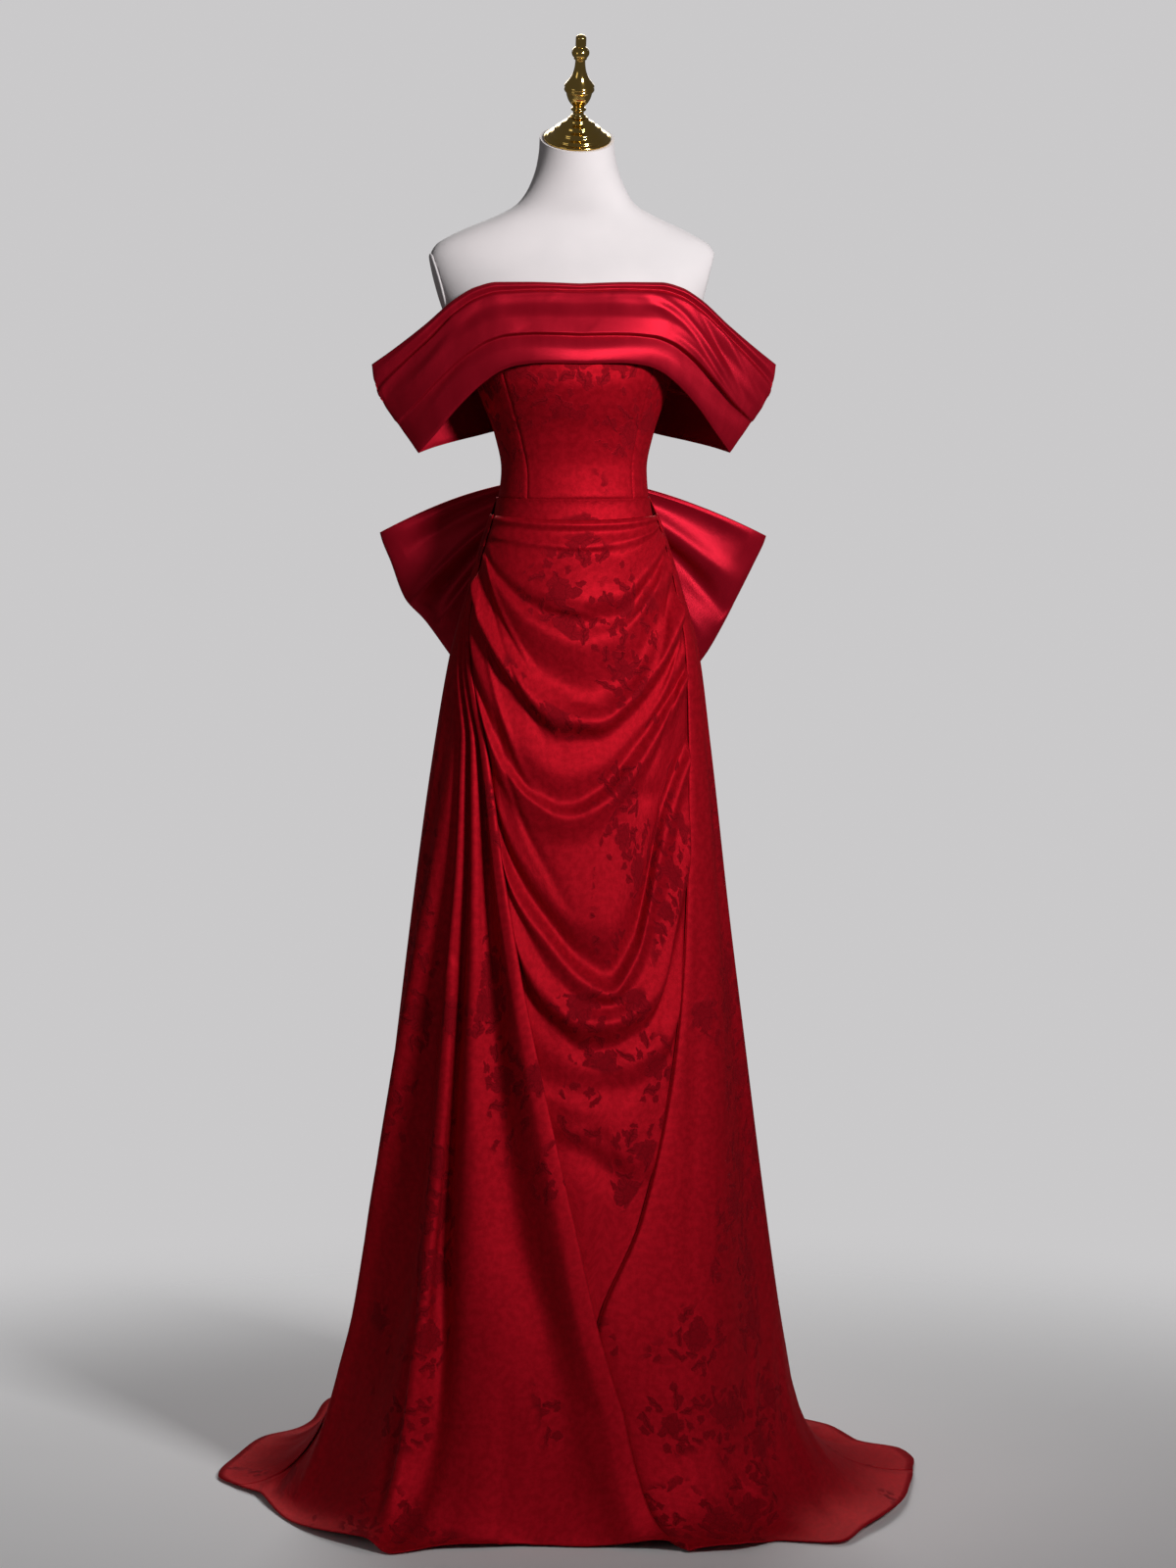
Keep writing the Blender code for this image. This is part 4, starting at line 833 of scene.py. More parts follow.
FINIAL_PROFILE = (
    (0.0, 0.0306), (0.0095, 0.0306), (0.0098, 0.0309), (0.0100, 0.0318), (0.0098, 0.0330),
    (0.0080, 0.0336), (0.0072, 0.0345), (0.0070, 0.0370), (0.0072, 0.0392), (0.0096, 0.0400),
    (0.0101, 0.0412), (0.0096, 0.0424), (0.0074, 0.0432), (0.0072, 0.0446), (0.0080, 0.0462),
    (0.0104, 0.0486), (0.0132, 0.0524), (0.0153, 0.0570), (0.0166, 0.0620), (0.0170, 0.0648),
    (0.0171, 0.0654), (0.0184, 0.0658), (0.0194, 0.0668), (0.0197, 0.0684), (0.0194, 0.0698),
    (0.0186, 0.0704), (0.0186, 0.0708), (0.0193, 0.0714), (0.0195, 0.0728), (0.0189, 0.0742),
    (0.0172, 0.0762), (0.0146, 0.0796), (0.0118, 0.0838), (0.0094, 0.0886), (0.0076, 0.0946),
    (0.0067, 0.1010), (0.0064, 0.1065), (0.0066, 0.1084), (0.0082, 0.1090), (0.0086, 0.1098),
    (0.0082, 0.1106), (0.0080, 0.1110), (0.0098, 0.1126), (0.0112, 0.1150), (0.0116, 0.1174),
    (0.0112, 0.1200), (0.0098, 0.1226), (0.0074, 0.1244), (0.0060, 0.1252), (0.0060, 0.1256),
    (0.0068, 0.1262), (0.0069, 0.1268), (0.0069, 0.1372), (0.0068, 0.1380), (0.0060, 0.1396),
    (0.0040, 0.1410), (0.0, 0.1416),
)
print("cap", CAP_PROFILE[-1][1], "m high, finial up to", FINIAL_PROFILE[-1][1], "m")

# %% [markdown]
# ## Brass
# Polished brass is all reflection, so its colour is the metal's own and its roughness is low. A soft
# cloud varies both, as handling does, and very fine rings are the marks of the lathe.

# %% Brass
LATHE_STEPS = 48


def brass_finish():
    brass = Recipe("polished_brass", Metallic=1.0)
    place = brass.add("TexCoord").outputs["Object"]
    cloud = brass.noise(place, 38.0, 4.0)
    rings = brass.add("TexWave", {"Vector": place, "Scale": 160.0, "Distortion": 0.4},
                      wave_type="BANDS", bands_direction="Z").outputs["Fac"]
    brass.coat(Base_Color=brass.blend(cloud, (0.80, 0.50, 0.115, 1), (0.90, 0.62, 0.19, 1)),
               Roughness=brass.ramp(cloud, 0.3, 0.8, 0.07, 0.16),
               Normal=brass.bump(rings, 0.00003, 0.15))
    return brass.material


def lathe(name, profile, finish, node, place):
    """Spins a profile of radii and heights into a brass part, and moves it to its place."""
    bm = bmesh.new()
    ring = [bm.verts.new((radius, 0.0, height)) for radius, height in profile]
    edges = [bm.edges.new(pair) for pair in zip(ring, ring[1:])]
    bmesh.ops.spin(bm, geom=ring + edges, axis=(0, 0, 1), cent=(0, 0, 0), steps=LATHE_STEPS,
                   angle=2 * math.pi, use_merge=True)
    bmesh.ops.remove_doubles(bm, verts=bm.verts, dist=WELD)
    bmesh.ops.recalc_face_normals(bm, faces=bm.faces)
    bmesh.ops.transform(bm, matrix=place, verts=bm.verts)
    piece = finish_piece(name, bm, finish, node)
    rounded = piece.modifiers.new("rounded", "SUBSURF")
    rounded.levels = rounded.render_levels = 1
    print(name, len(piece.data.polygons), "faces before rounding")


polished_brass = brass_finish()
neck_seat = (Matrix.Translation(cap_centre() + cap_axis() * SEAT)
             @ Matrix.Rotation(CAP_TILT, 4, "X"))
lathe("brass_cap", CAP_PROFILE, polished_brass, "neck_cap", neck_seat)
lathe("brass_finial", FINIAL_PROFILE, polished_brass, "finial", neck_seat)

# %% [markdown]
# ## Pole and base
# The stand is plain and hidden by the skirt, so its solids stay as they are. The pole gets the fine
# vertical scratches of brushed steel, and the base a matt powder coat.

# %% Stand finishes
def steel_finish():
    steel = Recipe("brushed_steel", Metallic=1.0)
    place = steel.add("TexCoord").outputs["Object"]
    long = steel.add("Mapping", {"Vector": place, "Scale": (900.0, 900.0, 6.0)}).outputs["Vector"]
    streak = steel.noise(long, 1.0, 2.0)
    steel.coat(Base_Color=steel.blend(streak, (0.46, 0.46, 0.47, 1), (0.60, 0.60, 0.61, 1)),
               Roughness=steel.ramp(streak, 0.2, 0.8, 0.26, 0.42),
               Normal=steel.bump(streak, 0.00005, 0.4))
    return steel.material


def powder_finish():
    powder = Recipe("powder_coat", Specular_IOR_Level=0.4)
    place = powder.add("TexCoord").outputs["Object"]
    patch, grain = powder.noise(place, 12.0), powder.noise(place, 1400.0, 2.0)
    powder.coat(Base_Color=powder.blend(patch, (0.020, 0.020, 0.021, 1), (0.034, 0.034, 0.035, 1)),
                Roughness=powder.ramp(grain, 0.2, 0.8, 0.42, 0.60),
                Normal=powder.bump(grain, 0.0001, 0.5))
    return powder.material


for node, finish in (("stand_pole", steel_finish()), ("stand_base", powder_finish())):
    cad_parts[node].material_slots[0].material = finish
    print(node, "is", finish.name)

# %% [markdown]
# ## Bodice
# The bodice has a centre front, two side fronts and two backs, cut to fit without darts because the
# princess seams take the shape. Each panel is laid over the form with a little ease. Its
# seams are pressed in, which draws the fine dark lines that show where the panels meet, and each
# panel has its own beds of woven flowers, since every panel is cut from another part of the cloth.

# %% Bodice
WAIST = 1.3175
SHELL_EASE = 0.0027         # outer face of the bodice off the form
SeamRow = namedtuple("SeamRow", "z left right")
PRINCESS = (SeamRow(WAIST, -42, 49), SeamRow(1.42, -47, 48), SeamRow(1.56, -47, 47))
BODICE_TOP, BODICE_PEAK = 1.504, 0.019
BODICE_ROWS = 49
BODICE_SEAMS = ("left", "right", "bottom")
princess = columns(PRINCESS, "z")
shell = clothed_form(SHELL_EASE)


def bodice_top(angle):
    return BODICE_TOP + BODICE_PEAK * np.clip(np.cos(np.radians(angle)), 0, 1) ** 2


def bodice_panel(name, first, last, cells, node, beds):
    """A panel between two seams, each given as the angle at which it runs at every height."""
    share, rise = np.meshgrid(edged(np.linspace(0, 1, cells + 1)),
                              edged(np.linspace(0, 1, BODICE_ROWS))[::-1])
    z = WAIST + (BODICE_TOP - WAIST) * rise
    start, end = first(z), last(z)
    angle = start + (end - start) * share
    z = WAIST + (bodice_top(angle) - WAIST) * rise
    points = pressed(shell(angle, z), BODICE_SEAMS, -1, depth=1.2, reach=2.0)
    return lay(name, points, flowered_jacquard, -1, node, BODICE_SEAMS, beds)


def fixed(angle):
    return lambda z: np.full_like(z, float(angle))


bodice_centre = bodice_panel("bodice_centre_front", princess["left"], princess["right"], 44,
                             "bodice_front_centre",
                             (Bed(0.25, 0.22, 0.3, 0.2), Bed(0.85, 0.35, 0.2, 0.25)))
bodice_left = bodice_panel("bodice_side_front_left", fixed(-92), princess["left"], 30,
                           "bodice_front_side_left", (Bed(0.8, 0.5, 0.3, 0.16),))
bodice_right = bodice_panel("bodice_side_front_right", princess["right"], fixed(92), 30,
                            "bodice_front_side_right", (Bed(0.1, 0.3, 0.3, 0.2),))
bodice_back_l = bodice_panel("bodice_left_back", fixed(-180), fixed(-92), 40, "bodice_back_left",
                             (Bed(0.6, 0.35, 0.3, 0.2),))
bodice_back_r = bodice_panel("bodice_right_back", fixed(92), fixed(180), 40, "bodice_back_right",
                             (Bed(0.4, 0.6, 0.3, 0.2),))

# %% [markdown]
# ## Skirt sections
# A gathered skirt is easiest to draw as a smooth cone with fold lines on it. The cone comes first:
# oval sections down to the height at which the hem flares, and below it the reach of the hem in
# every direction, short in front and long behind, where the train lies on the floor.

# %% Skirt sections
SKIRT_TOP, YOKE_FOOT, FLARE, HEM_REST = 1.296, 1.262, 0.16, 0.0026
SkirtRow = namedtuple("SkirtRow", "z left right front back")
SKIRT = (
    SkirtRow(0.160, 0.306, 0.276, 0.263, 0.345),
    SkirtRow(0.250, 0.280, 0.2605, 0.243, 0.308),
    SkirtRow(0.400, 0.2545, 0.240, 0.209, 0.262),
    SkirtRow(0.600, 0.230, 0.2155, 0.172, 0.214),
    SkirtRow(0.800, 0.206, 0.1915, 0.144, 0.171),
    SkirtRow(1.000, 0.180, 0.171, 0.124, 0.136),
    SkirtRow(1.120, 0.1605, 0.1575, 0.114, 0.124),
    SkirtRow(1.200, 0.1395, 0.1365, 0.106, 0.109),
    SkirtRow(1.250, 0.1255, 0.1205, 0.096, 0.093),
    SkirtRow(1.290, 0.1120, 0.1065, 0.0875, 0.0845),
    SkirtRow(1.320, 0.1015, 0.0935, 0.0825, 0.0795),
)
HemRow = namedtuple("HemRow", "angle reach")
HEM = (
    HemRow(-180, 0.600), HemRow(-165, 0.590), HemRow(-150, 0.592), HemRow(-139, 0.526),
    HemRow(-126, 0.501), HemRow(-109, 0.493), HemRow(-102, 0.486), HemRow(-95, 0.452),
    HemRow(-88, 0.420), HemRow(-75, 0.412), HemRow(-50, 0.411), HemRow(-40, 0.414),
    HemRow(-34, 0.362), HemRow(-27, 0.336), HemRow(-14, 0.304), HemRow(2, 0.309),
    HemRow(11, 0.333), HemRow(20, 0.366), HemRow(29, 0.385), HemRow(37, 0.376),
    HemRow(45, 0.448), HemRow(54, 0.437), HemRow(80, 0.441), HemRow(96, 0.463),
    HemRow(104, 0.486), HemRow(111, 0.495), HemRow(118, 0.460), HemRow(128, 0.474),
    HemRow(140, 0.520), HemRow(152, 0.585), HemRow(166, 0.588), HemRow(180, 0.600),
)
skirt = columns(SKIRT, "z")
hem = columns(HEM, "angle")
print("hem reaches", min(row.reach for row in HEM), "to", max(row.reach for row in HEM), "m")

# %% [markdown]
# ## Fold lines
# Each line below is a ridge, a valley or an overlapped edge: its angle round the body at several
# heights, and how many millimetres it stands off the cone. Between two lines the cloth runs
# smoothly from one to the next, over the number of cells that the last column gives.

# %% Fold lines
ANGLE_LEVELS = (0.0, 0.25, 0.40, 0.60, 0.80, 1.00, 1.12, 1.20, 1.29)
RISE_LEVELS = (0.0, 0.40, 0.80, 1.20)
Fold = namedtuple("Fold", "name a_floor a_250 a_400 a_600 a_800 a_1000 a_1120 a_1200 a_1290"
                          " r_floor r_400 r_800 r_1200 cells")
FOLDS = (
    Fold("centre_back_left", -180, -180, -180, -180, -180, -180, -180, -180, -180, 0, 0, 0, 0, 12),
    Fold("back_ridge_1", -169, -168, -168, -168, -168, -169, -170, -171, -172, 16, 26, 17, 3, 12),
    Fold("back_valley_1", -157, -156, -155, -155, -156, -158, -160, -162, -164, 0, 0, 0, 0, 12),
    Fold("back_ridge_2", -144, -142, -141, -141, -143, -147, -150, -153, -156, 13, 22, 15, 3, 12),
    Fold("back_valley_2", -132, -129, -127, -127, -130, -136, -140, -144, -147, 0, 0, 0, 0, 12),
    Fold("back_ridge_3", -120, -116, -114, -113, -116, -122, -128, -132, -136, 9, 17, 12, 3, 12),
    Fold("back_valley_3", -109, -105, -103, -102, -103, -107, -111, -115, -119, 0, 2, 2, 0, 12),
    Fold("side_left", -94, -94, -94, -94, -94, -94, -94, -94, -94, 2, 7, 6, 1, 10),
    Fold("side_ridge", -85, -84, -83, -82, -81, -82, -85.5, -90, -92.2, 5, 9, 7, 1, 14),
    Fold("dark_valley", -68, -65, -62, -60, -58, -62, -78, -87.4, -90.2, 0, -14, -8, 0, 14),
    Fold("thin_ridge", -41, -48, -51.5, -51, -51.5, -57, -74.5, -85.0, -88.4, 14, 14, 8, 1, 8),
    Fold("thin_valley", -35, -42.5, -46.5, -47, -47.5, -53.5, -71.5, -82.8, -86.6, 0, -12, -7, 0, 14),
    Fold("broad_crest", -25, -33, -36, -39, -42.5, -50.5, -68.8, -80.7, -84.8, 5, 11, 9, 1, 16),
    Fold("long_valley", -3, -12, -22, -30.5, -37, -47.5, -66.2, -78.7, -83.1, 0, -11, -7, 0, 14),
    Fold("overlap_crest", 13, -2.5, -9, -19, -30.8, -45, -63.8, -76.8, -81.4, 13, 27, 15, 1.2, 8),
    Fold("overlap_edge", 17.5, 1.8, -5, -15.5, -28, -42.9, -61.8, -75.1, -79.9, 9, 24, 13, 1.0, 8),
    Fold("overlap_foot", 18, 0.6, -6.8, -17.2, -28.9, -43.2, -61.6, -74.6, -79.3, 1, 2.4, 2.4, .5, 0),
    Fold("right_foot", 18, 0.8, 15.5, 31.5, 44, 54.5, 60.5, 67.5, 80.4, 1, 2.4, 2.0, .3, 8),
    Fold("right_edge", 19, 2.4, 16.3, 32.2, 44.7, 55.4, 61.7, 68.8, 81.8, 4, 8, 4, .8, 10),
    Fold("right_crest", 24, 11, 21, 35, 47.5, 58.4, 65, 72.4, 83.6, 8, 10, 6, 1.5, 16),
    Fold("right_panel", 28, 34, 40, 50, 60, 67.4, 73.4, 78.6, 86, 8, 9, 7, 2, 16),
    Fold("right_valley", 38, 60, 66, 71, 76, 80, 83, 85, 88, 0, -6, -1, 0, 16),
    Fold("train_ridge", 60, 78, 81, 82, 84, 86, 87.6, 88.8, 90.6, 9, 7, 6, 1, 10),
    Fold("side_right", 93, 93, 93, 93, 93, 93, 93, 93, 93, 3, 7, 5, 1, 12),
    Fold("back_valley_4", 106, 105, 104, 104, 105, 108, 111, 115, 119, 0, 0, 1, 0, 12),
    Fold("back_ridge_4", 118, 116, 115, 114, 116, 122, 127, 131, 135, 10, 17, 12, 3, 12),
    Fold("back_valley_5", 131, 129, 128, 128, 130, 135, 140, 143, 146, 0, 0, 0, 0, 12),
    Fold("back_ridge_5", 144, 143, 142, 142, 144, 147, 150, 153, 155, 13, 23, 15, 3, 12),
    Fold("back_valley_6", 157, 156, 155, 155, 156, 158, 160, 162, 164, 0, 0, 0, 0, 12),
    Fold("back_ridge_6", 169, 168, 168, 168, 168, 169, 170, 171, 172, 16, 26, 17, 3, 12),
    Fold("centre_back_right", 180, 180, 180, 180, 180, 180, 180, 180, 180, 0, 0, 0, 0, 0),
)
LINE = {fold.name: number for number, fold in enumerate(FOLDS)}
angle_by_line = [Curve(ANGLE_LEVELS, fold[1:10]) for fold in FOLDS]
rise_by_line = [Curve(RISE_LEVELS, fold[10:14]) for fold in FOLDS]


def keep_right_of(name, guide, gap):
    """Holds a fold line at least gap degrees to the right of a guide line, at every height."""
    free = angle_by_line[LINE[name]]
    held = angle_by_line[LINE[guide]]
    angle_by_line[LINE[name]] = lambda height: np.maximum(free(height), held(height) + gap)


keep_right_of("right_foot", "overlap_foot", 0.15)
keep_right_of("right_edge", "overlap_foot", 1.3)
keep_right_of("right_crest", "overlap_foot", 5.0)
print(len(FOLDS), "fold lines")

# %% [markdown]
# ## From lines to cloth
# A place on the skirt is a line's number and a height, and 2.5 is halfway between lines 2 and 3.
# The same reading serves any table of lines, so the swags, the pleats and the band use it too. A
# ladder of such places gives a sharp edge more cells than a slow curve.

# %% Reading lines
def across_lines(curves, number, height):
    """Reads one curve per fold line at its height, then runs smoothly from line to line."""
    number = np.clip(number, 0, len(curves) - 1)
    i = np.clip(np.floor(number).astype(int), 0, len(curves) - 2)
    at = [np.empty(number.shape) for _ in range(4)]
    for line, curve in enumerate(curves):
        value = curve(height)
        for slot, shift in enumerate((-1, 0, 1, 2)):
            wanted = np.clip(i + shift, 0, len(curves) - 1) == line
            at[slot] = np.where(wanted, value, at[slot])
    before, here, there, after = at
    low, mid, high = here - before, there - here, after - there

    def mean(a, b):
        same = a * b > 0
        return np.where(same, 2 * a * b / np.where(same, a + b, 1.0), 0.0)

    start = np.where(i == 0, mid, mean(low, mid))
    end = np.where(i == len(curves) - 2, mid, mean(mid, high))
    t = number - i
    return here + mid * (3 - 2 * t) * t * t + t * (1 - t) * (start * (1 - t) - end * t)


def ladder(table, first, last):
    """Places between two lines of a table, with each line's own number of cells after it."""
    places = []
    for number in range(first, last):
        places += [number + k / table[number].cells for k in range(table[number].cells)]
    return np.array(places + [last], float)


print("a row of the skirt has", len(ladder(FOLDS, 0, len(FOLDS) - 1)), "places")

# %% [markdown]
# ## The skirt's surface
# Above the flare the cloth follows the sections. Below it, a bend with three control points takes
# it from there, through the corner in which it would meet the floor, out to the hem. The folds are
# then raised off this surface along the way it faces.

# %% Skirt surface
SLOPE_STEP = 0.01           # height over which the slope at the flare is read
CORNER_ROOM = 0.001         # the bend's corner stays this far inside the hem


def section_point(angle, z):
    turn = np.radians(angle)
    half = np.where(np.sin(turn) < 0, skirt["left"](z), skirt["right"](z))
    depth = np.where(np.cos(turn) > 0, skirt["front"](z), skirt["back"](z))
    x = half * np.sin(turn)
    return np.stack([x, -depth * np.cos(turn), z + 0 * x], -1)


def valley_surface(angle, height):
    """The skirt without folds: sections above the flare, then a bend out to the hem."""
    top = section_point(angle, np.maximum(height, FLARE))
    knee = section_point(angle, np.full_like(angle, FLARE))
    slope = (knee - section_point(angle, np.full_like(angle, FLARE + SLOPE_STEP))) / SLOPE_STEP
    corner = knee + slope * (FLARE - HEM_REST)
    reach = np.hypot(corner[..., 0], corner[..., 1])
    end_reach = hem["reach"](np.degrees(np.arctan2(corner[..., 0], -corner[..., 1])))
    ray = corner[..., :2] / reach[..., None]
    corner_reach = np.minimum(reach, end_reach - CORNER_ROOM)
    corner = np.concatenate([ray * corner_reach[..., None], corner[..., 2:]], -1)
    end = np.concatenate([ray * end_reach[..., None], corner[..., 2:]], -1)
    t = np.clip(1 - height / FLARE, 0, 1)[..., None]
    bent = knee * (1 - t) ** 2 + corner * 2 * t * (1 - t) + end * t * t
    return np.where((height < FLARE)[..., None], bent, top)


def folded(angle, height, rise):
    """A point of the skirt, rise millimetres off the valley surface."""
    facing = normals(valley_surface, angle, height, 0.5, 0.001)
    return valley_surface(angle, height) + facing * (rise * MM)[..., None]


def pleated_surface(line, height):
    """The skirt beside and behind the draped panel, by fold line and height."""
    height = height + 0 * line
    return folded(across_lines(angle_by_line, line, height), height,
                  across_lines(rise_by_line, line, height))


print("skirt from", SKIRT_TOP, "m down to the floor")

# %% [markdown]
# ## Side fronts and trained backs
# Four lengths of jacquard fall from the hip to the floor: two fronts and, behind them, two backs
# that spread into the train. The fold lines give their flutes. What they can't give are the small
# creases: short slanting ones under the gathers, long ones down the left front, and the ripples
# that the floor pushes up in the hem.

# %% Skirt creases
LEFT_CREASES = (
    Crease(0.21, 0.22, 0.17, 0.97, 0, 15, -12.0),
    Crease(0.33, 0.46, 0.345, 0.98, 0, 9, 6.5),
    Crease(0.385, 0.44, 0.40, 0.99, 0, 7, -13.0),
    Crease(0.16, 0.10, 0.10, 0.50, 6, 9, 1.8),
    Crease(0.22, 0.12, 0.20, 0.42, 4, 6, -1.8),
    Crease(0.58, 0.10, 0.52, 0.38, 5, 7, 2.0),
    Crease(0.66, 0.14, 0.60, 0.46, 4, 7, -2.2),
    Crease(0.78, 0.20, 0.74, 0.58, -5, 8, 2.0),
    Crease(0.86, 0.18, 0.84, 0.52, -4, 7, -2.0),
    Crease(0.44, 0.97, 0.40, 0.80, 5, 11, -3.0),
    Crease(0.60, 0.99, 0.63, 0.84, 4, 14, 2.5),
    Crease(0.80, 0.99, 0.76, 0.86, -5, 12, -2.5),
    Crease(0.08, 0.99, 0.05, 0.82, 5, 14, 3.0),
)
RIGHT_CREASES = (
    Crease(0.42, 0.08, 0.55, 0.60, -8, 10, 1.8),
    Crease(0.56, 0.10, 0.66, 0.50, -6, 8, -1.8),
    Crease(0.30, 0.35, 0.40, 0.82, 8, 14, 1.6),
    Crease(0.36, 0.99, 0.33, 0.84, 5, 12, -2.5),
    Crease(0.60, 0.99, 0.66, 0.80, 6, 10, -3.5),
    Crease(0.78, 0.99, 0.80, 0.82, -5, 13, 3.5),
    Crease(0.90, 0.99, 0.88, 0.86, 4, 9, -3.0),
)
BACK_LEFT_CREASES = (
    Crease(0.12, 0.10, 0.14, 0.45, 5, 8, 1.8),
    Crease(0.35, 0.12, 0.33, 0.55, -6, 9, -1.8),
    Crease(0.62, 0.10, 0.58, 0.40, 5, 8, 1.6),
    Crease(0.20, 0.99, 0.24, 0.82, 6, 14, 3.0),
    Crease(0.48, 0.99, 0.44, 0.84, -6, 12, -3.0),
    Crease(0.74, 0.99, 0.70, 0.82, 5, 14, 3.5),
)
BACK_RIGHT_CREASES = (
    Crease(0.88, 0.12, 0.86, 0.50, 5, 8, 1.8),
    Crease(0.64, 0.10, 0.67, 0.48, -5, 9, -1.8),
    Crease(0.36, 0.14, 0.40, 0.44, 5, 8, 1.6),
    Crease(0.82, 0.99, 0.78, 0.84, -6, 13, 3.0),
    Crease(0.55, 0.99, 0.58, 0.82, 5, 12, -3.0),
    Crease(0.26, 0.99, 0.30, 0.83, -5, 14, 3.5),
)
print(sum(map(len, (LEFT_CREASES, RIGHT_CREASES, BACK_LEFT_CREASES, BACK_RIGHT_CREASES))), "creases")

# %% [markdown]
# ## Laying the skirt panels
# Each panel runs from one fold line to another. The overlapped edge of the left front is simply two
# fold lines close together, so the cloth turns under there. Creases that would push the hem into
# the floor are stopped just above it.

# %% Skirt panels
LOWEST = 0.0012             # height of the lowest cloth above the floor


def skirt_panel(name, first, last, top, rows, node, seams, creases, beds):
    """A length of the skirt between two fold lines, from its top down to the hem."""
    line, height = np.meshgrid(ladder(FOLDS, LINE[first], LINE[last]), np.linspace(top, 0.0, rows))
    points = pressed(creased(pleated_surface(line, height), creases, 1), seams, 1)
    points[..., 2] = np.maximum(points[..., 2], LOWEST)
    return lay(name, points, flowered_jacquard, 1, node, seams, beds)


front_left = skirt_panel("front_panel_left", "side_left", "overlap_foot", SKIRT_TOP, 240,
                         "skirt_front_left", ("left",), LEFT_CREASES,
                         (Bed(0.72, 0.45, 0.08, 0.10), Bed(0.40, 0.70, 0.08, 0.10),
                          Bed(0.1, 0.4, 0.08, 0.2)))
front_right = skirt_panel("front_panel_right", "right_foot", "side_right", SKIRT_TOP, 240,
                          "skirt_front_right", ("right",), RIGHT_CREASES,
                          (Bed(0.72, 0.42, 0.20, 0.30), Bed(0.60, 0.80, 0.12, 0.15)))
back_left = skirt_panel("train_panel_left", "centre_back_left", "side_left", WAIST, 200,
                        "skirt_back_left", ("left", "right", "top"), BACK_LEFT_CREASES,
                        (Bed(0.3, 0.25, 0.1, 0.1), Bed(0.7, 0.45, 0.1, 0.1), Bed(0.3, 0.8, 0.12, 0.1)))
back_right = skirt_panel("train_panel_right", "side_right", "centre_back_right", WAIST, 200,
                         "skirt_back_right", ("left", "right", "top"), BACK_RIGHT_CREASES,
                         (Bed(0.7, 0.2, 0.1, 0.1), Bed(0.3, 0.5, 0.1, 0.1), Bed(0.7, 0.75, 0.12, 0.1)))

# %% [markdown]
# ## Swags
# Below the waist a narrow yoke lies flat, and the draped panel hangs from it in swags. Cloth that is
# held at two hips and left long between them falls in curves, deep ones low down. Each row is
# a crest or a foot: its height at nine places from the left hip to the right one, and how far it
# stands out at the left, in the middle and at the right.

